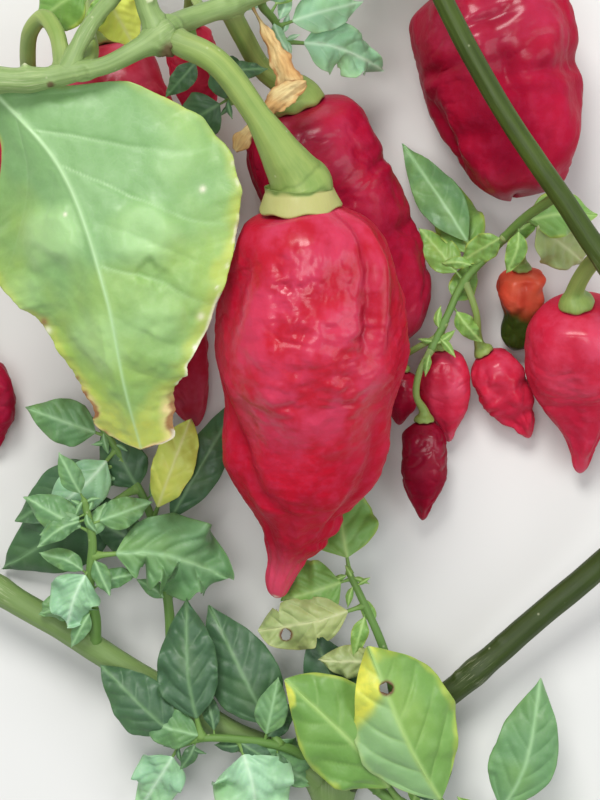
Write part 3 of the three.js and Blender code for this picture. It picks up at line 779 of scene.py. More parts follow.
OUTLINES: dict[str, Table] = {
    "front_left": ((0, 0.56), (0.03, 0.69), (0.06, 0.74), (0.1, 0.78), (0.2, 0.88), (0.3, 0.965),
        (0.35, 0.958), (0.4, 0.903), (0.45, 0.852), (0.5, 0.827), (0.6, 0.835), (0.65, 0.79), (0.7, 0.677),
        (0.75, 0.517), (0.8, 0.392), (0.85, 0.291), (0.9, 0.207), (0.95, 0.17), (0.98, 0.12), (1, 0.05)),
    "front_right": ((0, 0.3), (0.03, 0.42), (0.06, 0.6), (0.1, 0.73), (0.15, 0.81), (0.2, 0.89),
        (0.25, 0.954), (0.3, 0.985), (0.35, 0.987), (0.4, 0.953), (0.5, 0.869), (0.6, 0.793), (0.65, 0.678),
        (0.7, 0.558), (0.8, 0.429), (0.85, 0.284), (0.9, 0.186), (0.95, 0.13), (0.98, 0.1), (1, 0.05)),
    "tailed": ((0, 0.36), (0.05, 0.74), (0.2, 1), (0.45, 0.95), (0.62, 0.72), (0.76, 0.4), (0.88, 0.22),
        (0.96, 0.14), (1, 0.05)),
    "blunt_left": ((0, 0.36), (0.07, 0.8), (0.3, 1), (0.58, 0.92), (0.78, 0.72), (0.92, 0.5), (1, 0.16)),
    "broad": ((0, 0.4), (0.05, 0.78), (0.22, 1), (0.5, 0.93), (0.72, 0.7), (0.88, 0.44), (0.96, 0.25),
        (1, 0.06)),
    "blunt": ((0, 0.36), (0.07, 0.8), (0.3, 1), (0.65, 0.94), (0.88, 0.72), (0.96, 0.5), (1, 0.12)),
    "small": ((0, 0.4), (0.1, 0.86), (0.35, 1), (0.62, 0.84), (0.84, 0.4), (0.96, 0.18), (1, 0.05)),
    "slanted": ((0, 0.4), (0.04, 0.78), (0.13, 0.95), (0.3, 1), (0.51, 0.93), (0.81, 0.71), (0.95, 0.42),
        (1, 0.1)),
    "ovate": ((0, 0.04), (0.05, 0.3), (0.12, 0.64), (0.22, 0.9), (0.34, 1), (0.48, 0.98), (0.62, 0.85),
        (0.75, 0.62), (0.86, 0.36), (0.94, 0.15), (1, 0.02)),
    "full": ((0, 0.04), (0.06, 0.3), (0.16, 0.64), (0.3, 0.88), (0.46, 1), (0.62, 0.98), (0.76, 0.84),
        (0.87, 0.58), (0.95, 0.28), (1, 0.02)),
    "slim": ((0, 0.04), (0.08, 0.3), (0.2, 0.66), (0.36, 0.86), (0.55, 0.82), (0.72, 0.62), (0.86, 0.36),
        (0.95, 0.14), (1, 0.02)),
    "lance": ((0, 0.04), (0.1, 0.45), (0.24, 0.86), (0.4, 1), (0.56, 0.92), (0.72, 0.68), (0.86, 0.36),
        (0.94, 0.15), (1, 0.02)),
    "large_left": ((0, 0.03), (0.09, 0.24), (0.145, 0.42), (0.19, 0.61), (0.25, 0.79), (0.31, 0.945),
        (0.37, 1.01), (0.42, 1), (0.48, 0.955), (0.575, 0.81), (0.64, 0.675), (0.7, 0.575), (0.77, 0.43),
        (0.86, 0.318), (0.94, 0.27), (0.97, 0.24), (0.99, 0.15), (1, 0.03)),
    "large_right": ((0, 0.03), (0.1, 0.3), (0.19, 0.7), (0.3, 0.95), (0.4, 1.03), (0.485, 1.04),
        (0.556, 0.92), (0.642, 0.76), (0.724, 0.63), (0.8, 0.5), (0.864, 0.4), (0.92, 0.37), (0.955, 0.33),
        (0.98, 0.2), (1, 0.03)),
    "strip": ((0, 0.15), (0.22, 0.2), (0.32, 0.6), (0.6, 0.85), (0.9, 1.2), (1, 0.9)),
    "flap": ((0, 0.2), (0.12, 0.8), (0.3, 1.25), (0.5, 0.8), (0.7, 0.5), (0.88, 0.85), (1, 0.3)),
    "bell": ((0, 0.5), (0.06, 0.9), (0.25, 1), (0.42, 0.97), (0.55, 0.84), (0.8, 0.7), (0.94, 0.45),
        (1, 0.1)),
}


@dataclass(frozen=True)
class Crease:
    """A fold along a pod: where it runs as rows of [share of the length, angle from the top], its depth as a
    share of the radius, and its width in degrees. A negative depth is a ridge."""

    line: Table
    depth: float
    width: float
    FADE = 0.05

    def depth_at(self, turn: Array, run: Array, wander: Array) -> Array:
        """The depth: a bell across the fold, faded out at both ends of its stretch.

        Args:
            turn: the angle round the pod.
            run: the share of its length.
            wander: how far the fold strays, in degrees.

        Returns:
            The depth at each place.
        """
        start, end = self.line[0][0], self.line[-1][0]
        middle = np.interp(run, *np.array(self.line, float).T)
        away = wrapped(np.degrees(turn) - middle - wander)
        fade = step(start - self.FADE, start + self.FADE, run) if start > 0 else 1.0
        if end < 1:
            fade = fade * (1 - step(end - self.FADE, end + self.FADE, run))
        return self.depth * hump(away, self.width) * fade


@dataclass(frozen=True)
class Tuck:
    """A short fold across a pod: where it lies, its depth in millimetres and its reach both ways."""

    run: float
    turn: float
    depth: float
    long: float
    wide: float
    slant: float = 0.0

    def depth_at(self, turn: Array, run: Array, wander: Array) -> Array:
        """The depth: a bell both ways, on a slanting line that wanders a little along the pod."""
        away = wrapped(np.degrees(turn) - self.turn)
        line = run - self.run - 0.012 * wander - self.slant * away
        return self.depth * hump(line, self.long) * hump(away, self.wide)


CREASES = {
    "front": (
        Crease(((0.06, 60), (0.2, 60), (0.4, 66), (0.5, 70)), 0.06, 13),
        Crease(((0.1, 38), (0.2, 42), (0.46, 48), (0.6, 36)), -0.03, 8),
        Crease(((0.4, 60), (0.49, 54), (0.56, 46), (0.62, 35), (0.66, 22), (0.68, 8)), 0.085, 12),
        Crease(((0.62, 20), (0.65, 0), (0.66, -16)), 0.04, 14),
        Crease(((0.5, 84), (0.58, 80), (0.66, 74)), -0.05, 17),
        Crease(((0, -58), (0.07, -56), (0.16, -56), (0.24, -52)), -0.09, 7),
        Crease(((0, -44), (0.07, -43), (0.16, -43), (0.27, -40)), 0.09, 6),
        Crease(((0.36, -50), (0.55, -50), (0.68, -44), (0.76, -36)), 0.045, 9),
        Crease(((0.4, -70), (0.55, -68), (0.68, -64)), -0.03, 12),
        Crease(((0.72, 34), (0.86, 38), (0.96, 40)), 0.06, 18),
        Crease(((0.74, -34), (0.86, -30), (0.96, -24)), 0.05, 17),
        Crease(((0, 150), (1, 160)), 0.09, 24),
        Crease(((0, -140), (1, -130)), 0.06, 20),
    ),
    "four": (Crease(((0, -10), (1, 12)), 0.1, 18), Crease(((0, 92), (1, 76)), 0.09, 20),
             Crease(((0, 175), (1, 175)), 0.08, 22), Crease(((0, -104), (1, -88)), 0.09, 20)),
    "three": (Crease(((0, 10), (1, 32)), 0.1, 22), Crease(((0, 140), (1, 140)), 0.1, 24),
              Crease(((0, -90), (1, -112)), 0.1, 24)),
}


@dataclass(frozen=True)
class Stalk:
    """A pod's stalk: the points it passes, its radius, the radius of its calyx, the calyx's shape, and the
    way it faces where that isn't along the pod's line."""

    path: Path
    radius: float
    calyx: float
    skirt: bool = False
    aim: Point | tuple[()] = ()

    SKIRT = ((0, 0.96), (0.03, 1.01), (0.08, 1.01), (0.25, 0.94), (0.42, 0.865), (0.48, 0.83),
             (0.51, 0.83), (0.56, 0.84), (0.7, 0.78), (0.82, 0.72), (0.9, 0.675), (1.1, 0.615),
             (1.35, 0.56), (1.75, 0.48), (2.1, 0.42))
    CAP = ((0, 0.86), (0.06, 0.98), (0.16, 1.03), (0.3, 1.0), (0.5, 0.9), (0.68, 0.74), (0.85, 0.6),
           (1.1, 0.52), (1.5, 0.46))
    REACH = 2.6
    EDGES = {True: 0.5, False: 0.07}
    FLARE = 1.04  # the least radius of the calyx, over the stalk's

    def reach(self, left: Array) -> Array:
        """The radius over the calyx's, by how many calyx radii are left to the pod."""
        table = self.SKIRT if self.skirt else self.CAP
        slim = self.radius / self.calyx
        rows = tuple((at, max(value, slim * self.FLARE)) for at, value in table) + ((self.REACH, slim),)
        return curve_at(rows, np.clip(left, 0, self.REACH))

    @property
    def edge(self) -> float:
        """How high the pale rim is, in calyx radii."""
        return self.EDGES[self.skirt]


@dataclass(frozen=True)
class Relief:
    """Heights in millimetres, and sizes across and along, of a pod's lumps, wrinkles, pimples and ripples,
    the share of its length over which its wrinkles fade, and how many short tucks are laid over its front."""

    lumps: Triple = (0.35, 5.0, 5.0)
    wrinkles: Triple = (0.2, 3.0, 2.2)
    pimples: Triple = (0.04, 1.0, 1.0)
    fading: Pair = (0.9, 1.0)
    ripples: Triple = (0.05, 1.8, 1.4)
    tucked: int = 0

    # the least and greatest run, turn, depth, long, wide and slant of a short tuck
    RANGES = ((0.07, 0.4), (-46, 40), (0.1, 0.32), (0.006, 0.012), (4, 11), (-0.0014, 0.0014))

    def tucks(self, seed: int) -> list[Tuck]:
        """The short tucks, from a seeded rule."""
        rng = np.random.default_rng(seed)
        return [Tuck(*(float(rng.uniform(*ends)) for ends in self.RANGES)) for _ in range(self.tucked)]


@dataclass(frozen=True)
class Pod:
    """A pod: the line down its middle, its largest radius, its two outlines, folds and skin relief."""

    name: str
    path: Path
    radius: float
    stalk: Stalk
    left: str = "small"
    right: str = "small"
    creases: str = "three"
    tucks: tuple[Tuck, ...] = ()
    relief: Relief = Relief()
    seed: int = 1
    unripe: bool = False
    rings: int = 110
    around: int = 96
    foot: tuple[Triple, ...] = ()
    dot: float = 0.0

    ENDS = (0.0, 0.0015, 0.004), (0.991, 0.996, 1.0)  # the stations that round off both ends,
    ENDS_FULL = (0.45, 0.8, 0.95), (0.93, 0.75, 0.4)  # and how full the pod is there
    LEAD = 0.2  # the stalk's straight end, over the pod's first stretch
    SKIRT_LEAD = 0.42  # the same at least, over the radius of a calyx with a skirt
    GAP = 0.35  # from the stalk's end to the pod's line
    DOT_TURN, RIDGE_TURN = 8, -56  # where the pale dot and the ridge with painted sheen lie round the pod
    STALK_AROUND, STALK_PITCH = 72, 0.5
    CLOSE_STEPS = 60  # more stations over the calyx
    STALK_SEED = 50

    def skin(self) -> Body:
        """The pod's skin: radius times its outline, less its folds, plus lumps, wrinkles and pimples taken
        from random fields on a cylinder round its line, with lobes that hang further at its foot.

        Returns:
            Its rings, their masks, and the size of its map.
        """
        (start, end), (widen, narrow) = self.ENDS, self.ENDS_FULL
        run = np.concatenate([start, np.linspace(0.008, 0.985, self.rings), end])
        shrink = np.concatenate([widen, np.ones(self.rings), narrow])
        route = Route.through(self.path, run)
        turn, run = wound(self.around, run)
        leftward = 0.5 + 0.5 * np.sin(turn)
        outline = (curve_at(OUTLINES[self.left], run) * leftward
                   + curve_at(OUTLINES[self.right], run) * (1 - leftward))
        plain = self.radius * outline * shrink[:, None]
        fade = step(-0.02, 0.12, run) * (1 - 0.8 * step(0.85, 1, run))
        field = Ripple(self.seed)
        cylinder = spots(np.sin(turn) * self.radius, np.cos(turn) * self.radius, run * route.length)
        wander = field.at(spots(run * 5, 0, 0.5))
        depth = sum(crease.depth_at(turn, run, 7 * wander) for crease in CREASES[self.creases]) * fade
        warp = field.at(cylinder / 6)[..., None]
        lumps, wrinkles, ripples, pimples = (
            height * form(cylinder / np.array([across, across, along]) + seat + warped * warp)
            for (height, across, along), form, seat, warped in (
                (self.relief.lumps, field.broad, 0.0, 0.0), (self.relief.wrinkles, field.folds, 3.1, 0.7),
                (self.relief.ripples, field.broad, 6.3, 0.9), (self.relief.pimples, field.broad, 9.7, 0.0)))
        patchy = 0.45 + 0.75 * step(-0.3, 0.4, field.at(cylinder / 7 + 4.4))
        smooth = (1 - 0.8 * step(*self.relief.fading, run)) * patchy
        tucks = sum((tuck.depth_at(turn, run, wander)
                     for tuck in (*self.tucks, *self.relief.tucks(self.seed))), 0 * run)
        relief = lumps + (2 * wrinkles + ripples) * smooth + pimples
        radius = plain * (1 - depth) + (relief * fade * np.minimum(1, outline / 0.3) - tucks)
        # painted shade: folds and tucks take the deep colour, darker where they cut in
        hollow = np.clip(depth * 6, 0, 1) + np.clip(tucks * 0.4 - wrinkles, 0, 0.3)
        # painted sheen on the side that faces the camera and the lights, and on the tail; the same mask sets
        # the coat
        front, lit_face = self.stalk.skirt, step(0.5, 0.85, np.cos(turn))
        sheen = (1 - 0.85 * step(0.35, 0.58, run) + 0.8 * step(0.8, 0.92, run)) * lit_face
        sheen = sheen * (1.0 if front else 0.7)
        # painted highlight along the ridge of the right shoulder
        ridge = 0.8 * hump(wrapped(np.degrees(turn) - self.RIDGE_TURN), 7) * (1 - step(0.2, 0.3, run))
        dot = hump(run - self.dot, 0.004) * hump(wrapped(np.degrees(turn) - self.DOT_TURN), 18)
        masks = {"hollow": np.clip(hollow, 0, 1), "tip": dot * (self.dot > 0), "sheen": sheen + ridge * front,
                 # painted light: the tail, turned away from the lights, takes a lighter pink
                 "tail": 0.5 * step(0.82, 0.93, run) * (self.dot > 0),
                 "unripe": step(0.3, 0.62, run + 0.05 * field.at(cylinder / 2)) * self.unripe}
        rings = route.round_ring(turn, np.maximum(radius, 0.08))
        for middle, width, drop in self.foot:
            lobe = drop * hump(wrapped(np.degrees(turn) - middle), width) * step(0.55, 1, run)
            rings += route.along[:, None] * lobe[..., None]
        return rings, masks, (2 * np.pi * self.radius, route.length)

    def stalk_line(self) -> tuple[Array, Array, Route]:
        """The stalk's line, which comes into line with the pod.

        Returns:
            Its stations, how many calyx radii are left to the pod at each, and its route.
        """
        top, following = (np.array(point, float) for point in self.path[:2])
        lead = max(np.linalg.norm(following - top) * self.LEAD,
                   self.SKIRT_LEAD * self.stalk.calyx * self.stalk.skirt)
        along = np.array(self.stalk.aim, float) if self.stalk.aim else following - top
        along /= np.linalg.norm(along)
        end = top - along * self.GAP
        straight = (1.3 * lead, lead, 0.0) if self.stalk.skirt else (lead, 0.0)
        points = [*self.stalk.path, *(tuple(end - along * back) for back in straight)]
        calyx, grow = self.stalk.calyx, (0.6, 0.08 * self.stalk.calyx)
        _, length = Route.marks(points, grow)
        close = 1 - np.linspace(0, 1, self.CLOSE_STEPS) * min(1.5 * calyx, 0.6 * length) / length
        run = np.unique(np.append(stations(length, self.STALK_PITCH, self.stalk.radius, 0.01), close))
        run = run[np.concatenate([[True], np.diff(run) > 1e-5])]
        return run, (1 - run) * length / calyx, Route.through(points, run, grow)

    def stalk_core(self) -> Core:
        """The stalk's middle line, for what it grows out of."""
        _, left, route = self.stalk_line()
        free = left > 1.5 if (left > 1.5).any() else left > 0.8
        return Core(route.places[free][::2], np.full(int(free.sum()), self.stalk.radius)[::2])

    def stem(self, cores: list[Core]) -> Body:
        """The stalk: a ribbed tube that flows out of its limb and widens to a collar, a groove and a
        scalloped rim that lies on the pod's shoulder.

        Args:
            cores: the limbs.

        Returns:
            Its rings, their masks, and the size of its map.
        """
        run, left, route = self.stalk_line()
        stalk, length = self.stalk, route.length
        reach = stalk.calyx * stalk.reach(left) * domed(run, length, stalk.radius, 0.01)
        reach = reach * (1 - 0.16 * (1 - step(0, 1.8 * stalk.radius, run * length)))
        turn, run, left = wound(self.STALK_AROUND, run, left)
        field = Ripple(self.seed + self.STALK_SEED)
        ribs = 0.022 * np.cos(5 * turn + 2 * run + self.seed) * step(0.0, 0.25, run) * step(0.0, 0.6, left)
        scallops = 0.02 * np.cos(6 * turn + self.seed + np.sin(turn)) * (1 - step(0.0, 0.45, left))
        wander = spots(np.sin(turn) * 1.5, np.cos(turn) * 1.5, run * length / 5)
        radius = reach[:, None] * (1 + ribs + scallops + 0.03 * field.rough(wander))
        rings = welded(route.round_ring(turn, radius), route.places, stalk.radius, cores)
        sag = 0.035 * stalk.calyx * np.cos(6 * turn + self.seed + 1 + np.sin(turn))
        rings += route.along[:, None] * (sag * (1 - step(0.0, 0.4, left)))[..., None]
        edge = stalk.edge * (1 + 0.06 * np.cos(5 * turn + self.seed) + 0.1 * field.at(wander * 2))
        # painted shade in the groove under the rim, and fainter in one below it
        grooves = 0.8 * hump(left - edge - 0.03, 0.035) + 0.4 * hump(left - edge - 0.4, 0.04)
        masks = stem_masks(run, base=1 - step(0.0, 8.0, run * length),
                           rim=1 - step(-0.04, 0.03, left - edge), groove=grooves * stalk.skirt)
        return rings, masks, (2 * np.pi * stalk.radius, length)


PODS = (
    Pod("front", ((0.2, 30.5, 45), (1.8, 23.9, 43), (1.3, 9.7, 36.5), (1, -6.6, 27.5), (-0.3, -18.6, 20.5),
        (-4.1, -34.1, 12.5)), 16.1,
        Stalk(((-20, 56, 51), (-13.2, 52.6, 52), (-6.5, 44.2, 50.5), (-2.6, 38.2, 48.4)), 2.1, 6.4, True,
        (0.09, -0.95, -0.3)), "front_left", "front_right", "front", (Tuck(0.73, -72, 0.9, 0.014, 26),
        Tuck(0.8, -66, 0.8, 0.014, 30), Tuck(0.87, -60, 0.6, 0.012, 30)), Relief((0.75, 6.5, 8.0),
        (0.16, 4.6, 3.0), (0.09, 1.3, 1.1), (0.24, 0.5), (0.2, 2.6, 1.4), 44), 3, rings=320, around=280,
        dot=0.986),
    Pod("behind", ((-0.4, 50, 17.4), (4.6, 37, 12.3), (9.2, 29, 11), (14.8, 17.3, 9), (17, 9.6, 8)), 12.3,
        Stalk(((-11.5, 63, 41), (-9.4, 59.8, 33), (-6.2, 55.6, 24)), 1.7, 4.8), "slanted", "slanted",
        "four", (Tuck(0.3, -60, 0.9, 0.04, 30), Tuck(0.58, -55, 1.0, 0.035, 26)),
        Relief((0.9, 7.5, 9.0), (0.2, 4.5, 3.5), (0.05, 1.3, 1.2)), 4, rings=180, around=170),
    Pod("left", ((-33.7, 61.3, 12.5), (-29.4, 39.8, 10.3), (-23.5, 15.6, 8), (-18.3, -4.6, 3.6)), 10.6,
        Stalk(((-33.5, 51, 51.9), (-33, 54.5, 46), (-34.5, 60, 34), (-36, 66.5, 22)), 1.2, 4), "broad",
        "broad", "four", (), Relief((0.6, 7.0, 8.0), (0.22, 4.0, 3.0), (0.05, 1.3, 1.2)), 5, rings=150,
        around=120),
    Pod("top_right", ((29.1, 72.3, 14.6), (34.3, 58.4, 14), (36.2, 46.4, 13.8), (36.9, 35.2, 11.5)), 14.6,
        Stalk(((20.2, 71.4, 38), (21, 78.5, 32), (24.4, 82, 22)), 1.6, 5), "blunt_left", "blunt", "four",
        (Tuck(0.37, 52, 1.0, 0.04, 24), Tuck(0.7, 42, 1.3, 0.035, 28), Tuck(0.46, -68, 1.3, 0.045, 28),
        Tuck(0.22, 10, 0.8, 0.03, 30), Tuck(0.5, -34, 1.0, 0.035, 24), Tuck(0.44, 4, 0.9, 0.1, 9)),
        Relief((1.3, 9.0, 10.0), (0.22, 5.0, 3.6), (0.05, 1.4, 1.2)), 6, rings=180, around=180,
        foot=((36, 34, 0.7), (-50, 30, 0.2), (-8, 24, -0.8))),
    Pod("right", ((47.1, 15.9, 18.5), (48.9, 3.5, 9.8), (49.6, -5, 7.2), (49.4, -12.9, 4.2)), 9.5,
        Stalk(((50.6, 21.9, 33.8), (49.4, 23.6, 29)), 1.4, 3.0), "tailed", "tailed", "three",
        (Tuck(0.55, 20, 0.12, 0.03, 40),), Relief((0.5, 6.0, 7.0), (0.12, 4.0, 3.0), (0.04, 1.2, 1.1)), 7,
        rings=150, around=130),
    Pod("back", ((-18.2, 62, 28), (-17.4, 53.5, 22), (-16.8, 46, 18)), 4.4,
        Stalk(((-15.5, 61.5, 43.6), (-17.5, 65.6, 38)), 0.8, 1.9), seed=8),
    Pod("under_leaf", ((-45.5, 47, 15), (-47.5, 36, 7.6), (-49.5, 26, 5.2), (-50, 20, 3.4)), 7,
        Stalk(((-37, 51, 51.3), (-37.9, 56.9, 49), (-40.4, 60.4, 46), (-42.9, 59.1, 42), (-44.4, 55.2, 34)),
        1.3, 2.9), seed=9),
    Pod("far_left", ((-55.8, 6.5, 7.6), (-54.4, -0.9, 5), (-53.8, -8.8, 3)), 4.9,
        Stalk(((-71.8, 10, 27.6), (-66, 13, 25), (-59.5, 13.5, 15)), 0.9, 2.1), seed=10),
    Pod("near_front", ((17.8, 4.9, 7), (17.5, -4.4, 4.2)), 3.4,
        Stalk(((23.6, 10.8, 13.5), (20.2, 9, 11.8)), 0.55, 1.5), seed=11),
    Pod("low", ((24.7, 8.7, 8), (25.8, 0.9, 5.8), (26.4, -7.4, 3)), 4.7,
        Stalk(((24.9, 13, 13.5),), 0.6, 1.8), seed=12),
    Pod("slanting", ((32.4, 8, 8), (36.8, 0.9, 5.6), (40.6, -6.7, 3.4)), 4.8,
        Stalk(((28.4, 20.6, 14.1), (30.4, 15, 13)), 0.6, 1.8), tucks=(Tuck(0.7, -30, 0.7, 0.06, 40),),
        relief=Relief((0.7, 3.6, 4.0), (0.2, 3.0, 2.2), (0.04, 1.0, 1.0)), seed=13),
    Pod("lowest", ((21.6, -4, 10), (21.9, -12.3, 8), (21.6, -21.2, 5)), 4.3,
        Stalk(((22.6, 8.6, 13.4), (20.6, 4.8, 13.2), (20.1, 0.8, 12.4)), 0.6, 1.7), seed=14),
    Pod("unripe", ((38.8, 22.5, 8), (39.2, 15.8, 4.9), (37.8, 8.8, 3.2)), 4.2,
        Stalk(((34.6, 27.5, 18.8), (37.6, 27.6, 15)), 0.6, 1.7), "bell", "bell", "four",
        relief=Relief((0.7, 3.2, 4.0), (0.1, 3.0, 2.2), (0.03, 1.0, 1.0)), seed=15, unripe=True),
)


@dataclass(frozen=True)
class Limb:
    """A woody limb: the points it passes, its radius at each, how far its ends are drawn out into what they
    join, its nodes as (point, extra radius, width), and its scars and bud stubs as (place, size)."""

    name: str
    path: Path
    girth: tuple[float, ...]
    grow: Pair = (1.4, 0.6)
    nodes: tuple[tuple[int, float, float], ...] = ()
    scars: tuple[tuple[Point, float], ...] = ()
    buds: tuple[tuple[Point, float], ...] = ()
    stands_for: tuple[str, ...] = ()
    cut: bool = False
    around: int = 56
    pitch: float = 0.33

    CUT_EDGE = 0.25
    SHADED = (14, 34)  # the heights between which the painted shade near the ground fades

    def line(self) -> tuple[Array, Route, Array]:
        """Its line, with a radius even between its points, more at its nodes, and rounded off at its ends.

        Returns:
            Its stations, its route, and its radius.
        """
        marks, length = Route.marks(self.path, self.grow)
        start, end = self.CUT_EDGE if self.cut else self.girth[0], self.girth[-1]
        run = stations(length, self.pitch, start, end)
        at_points = marks if len(self.girth) == len(marks) else np.array([0.0, 1.0])
        radius = np.interp(run, at_points, self.girth)
        for at, extra, width in self.nodes:
            radius = radius + extra * hump((run - marks[at]) * length, width)
        return run, Route.through(self.path, run, self.grow), radius * domed(run, length, start, end)

    def core(self) -> Core:
        """Its middle line, for what grows out of it."""
        _, route, radius = self.line()
        return Core(route.places[::2], radius[::2])

    def body(self, seed: int, cores: list[Core]) -> Body:
        """The limb: a tube with nodes, soft ribs, shallow dents, knobs for its scars and bud stubs, and a
        smooth flow into its neighbours.

        Args:
            seed: of its dents.
            cores: the other limbs.

        Returns:
            Its rings, their masks, and the size of its map.
        """
        run, route, radius = self.line()
        marks, length = Route.marks(self.path, self.grow)
        own = max(self.girth)
        turn, run = wound(self.around, run)
        field = Ripple(seed)
        places = spots(np.sin(turn), np.cos(turn), run * length / (3 * own))
        ribs = 0.018 * np.cos(5 * turn + 3 * run + seed) + 0.008 * np.cos(11 * turn + seed)
        knot = sum((hump((run - marks[at]) * length, 2.6) for at, _, _ in self.nodes), 0 * run)
        radius = radius[:, None] * (1 + ribs + (0.03 + 0.05 * knot) * field.rough(places))
        rings = welded(route.round_ring(turn, radius), route.places, own, cores)
        scars, buds = ([(size, hump(np.linalg.norm(rings - np.array(at), axis=-1), size))
                        for at, size in marked] for marked in (self.scars, self.buds))
        scar, bud = (sum((mark for _, mark in found), 0 * run) for found in (scars, buds))
        lift = sum((0.55 * size * mark for size, mark in scars), 0 * run) + 0.8 * bud
        lift = lift * (1 + 0.5 * field.at(rings * 1.7))
        rings = rings + lift[..., None] * (rings - route.places[:, None]) / (radius[..., None] + 0.2)
        # painted shade: the bark darkens below the SHADED heights, near the ground
        masks = stem_masks(run, knot=np.clip(knot, 0, 1), scar=step(0.35, 0.75, scar),
                           bud=step(0.5, 0.8, bud), shade=0.6 * (1 - step(*self.SHADED, rings[..., 2])))
        return rings, masks, (2 * np.pi * own, length)


LEFT_ARM = ((4.4, -67.6, 4.8), (-2, -62.8, 6), (-11.4, -58.8, 6.5), (-26.2, -49.5, 8), (-40.1, -40.4, 9.5),
            (-52.1, -33, 11), (-61, -25.5, 13.2), (-69, -9, 20), (-72, 12, 28.5), (-69.5, 32, 39),
            (-62, 44.5, 47), (-55, 48.9, 50.5), (-47.4, 49.7, 51.5), (-41.9, 49.7, 51.5), (-36.2, 50.6, 51.8),
            (-30, 52, 52), (-25.5, 54.3, 51.8), (-21.8, 56.8, 51))
RIGHT_ARM = ((7.4, -67.6, 4.8), (13, -61.6, 6), (21.1, -55.3, 6.5), (30.6, -47.6, 8), (41.8, -37.4, 10),
             (51.9, -28.6, 12), (59.3, -20.6, 15), (65.5, -6.8, 20), (65.4, 8.3, 27), (58.4, 18.1, 32),
             (50.9, 21.9, 34), (42.3, 33.3, 35.5), (32.4, 47.8, 36.5), (24, 63.1, 37.2), (20.2, 71, 38),
             (16.9, 78.3, 38))
LIMBS = (
    Limb("main_stem", ((6, -80, 3.6), (6, -75, 3.6), (5.6, -67.5, 4.6)), (3.4, 3.6), (0, 2.4),
         ((2, 0.3, 3.0),), cut=True),
    Limb("left_arm", LEFT_ARM, (2.4, 2.4, 2.35, 2.3, 2.3, 2.25, 2.2, 2.15, 2.1, 2.05, 2, 1.9, 1.8, 1.75,
         1.35, 1.4, 1.6, 1.9), (2.4, 2.4), ((3, 0.25, 2.2), (5, 0.3, 2.2), (8, 0.25, 2.5), (12, 0.25, 2.0),
         (13, 0.25, 2.4), (17, 0.5, 2.4)), (((-20.6, 54.4, 51.4), 2.3), ((-38.6, 49.0, 52.6), 0.8)),
         (((-41.9, -37.2, 10.8), 0.8), ((-36.4, -40.9, 10.6), 0.9), ((-42.6, 51.4, 52.0), 0.6)),
         ("left_arm_low", "left_arm_high", "left_bough")),
    Limb("stem_up", ((-22.2, 57.5, 51), (-24, 62.2, 51.5), (-24.8, 69.8, 52), (-25.6, 76.4, 50)),
         (1.8, 1.7, 1.45, 1.3), (2.0, 1.2), ((3, 0.2, 1.5),), buds=(((-23.4, 61.9, 53.0), 0.7),)),
    Limb("stem_right", ((-20.6, 58.2, 49.5), (-17.4, 60.4, 45), (-10.9, 63.4, 41), (-4, 66.5, 38),
         (6.5, 72.8, 33)), (1.9, 1.3), (2.4, 1.2)),
    Limb("side_stem", ((-36.3, 50.6, 51.8), (-33.4, 57.1, 51), (-29.6, 62.6, 49), (-21.4, 71.4, 44)),
         (1.35, 1.15), (0.6, 1.1), ((1, 0.15, 1.6),)),
    Limb("right_arm", RIGHT_ARM,
         (2.3, 2.3, 2.3, 2.25, 2.2, 2.2, 2.2, 2.1, 2, 1.9, 1.85, 1.75, 1.7, 1.65, 1.6, 1.5), (2.3, 1.4),
         ((3, 0.25, 2.2), (10, 0.4, 2.4), (14, 0.4, 2.4)), (),
         (((35.0, -42.2, 9.6), 0.9), ((27.6, -48.2, 8.6), 0.8)),
         ("right_arm_low", "right_arm_high", "right_bough")),
)
# the limbs that wear the painted-shade copy of the bark
SHADED = ("right_arm",)


class Tint(Enum):
    """The finishes that are dealt out to the leaves."""

    # FRESH's under colour also paints the lighter left half of a leaf given pale
    FRESH = LeafFinish("fresh_leaf", (124, 166, 84), (96, 142, 62), (158, 192, 112), (222, 222, 84),
                       (146, 178, 80), (150, 188, 142))
    MINT = LeafFinish("mint_leaf", (112, 154, 104), (80, 124, 76), (146, 186, 134), (124, 164, 102),
                      (122, 162, 82))
    BRIGHT = LeafFinish("bright_leaf", (162, 206, 168), (120, 170, 126), (192, 224, 190), (170, 208, 156),
                        (152, 196, 128), (168, 204, 172))
    DEEP = LeafFinish("deep_leaf", (74, 108, 78), (54, 88, 56), (106, 142, 98), (80, 118, 72), (84, 118, 58),
                      (112, 140, 104))
    YELLOW = LeafFinish("yellowing_leaf", (236, 244, 108), (206, 224, 104), (236, 240, 150), (240, 234, 110),
                        (244, 240, 100))
    PALE = LeafFinish("pale_leaf", (162, 176, 114), (132, 154, 94), (188, 196, 142), (176, 166, 102),
                      (178, 178, 100))


def both_sides(mask: Array) -> Array:
    """A mask of a blade's upper side, repeated for its underside."""
    return np.concatenate([mask, mask[:, ::-1]], axis=1)


def underside(top: Array) -> Array:
    """A mask that is 0 on a blade's upper side and 0.6 on its underside."""
    return np.concatenate([np.zeros(top.shape[:2]), np.full(top.shape[:2], 0.6)], axis=1)


def sheets(top: Array, up: Array, above: Array, below: Array) -> Array:
    """Rings round a blade: its places raised by one thickness, then lowered by another on the way back."""
    return np.concatenate([top + up[:, None] * above[..., None],
                           (top - up[:, None] * below[..., None])[:, ::-1]], axis=1)


@dataclass(frozen=True)
class Spot:
    """A mark or a hole on a leaf, at its place seen from above."""

    x: float
    y: float
    size: float

    def distance(self, places: Array) -> Array:
        """How far places lie from it, seen from above."""
        return np.hypot(places[..., 0] - self.x, places[..., 1] - self.y)

    def on(self, places: Array) -> Array:
        """How strongly the mark shows: a bell over the distance from it."""
        return hump(self.distance(places), self.size)


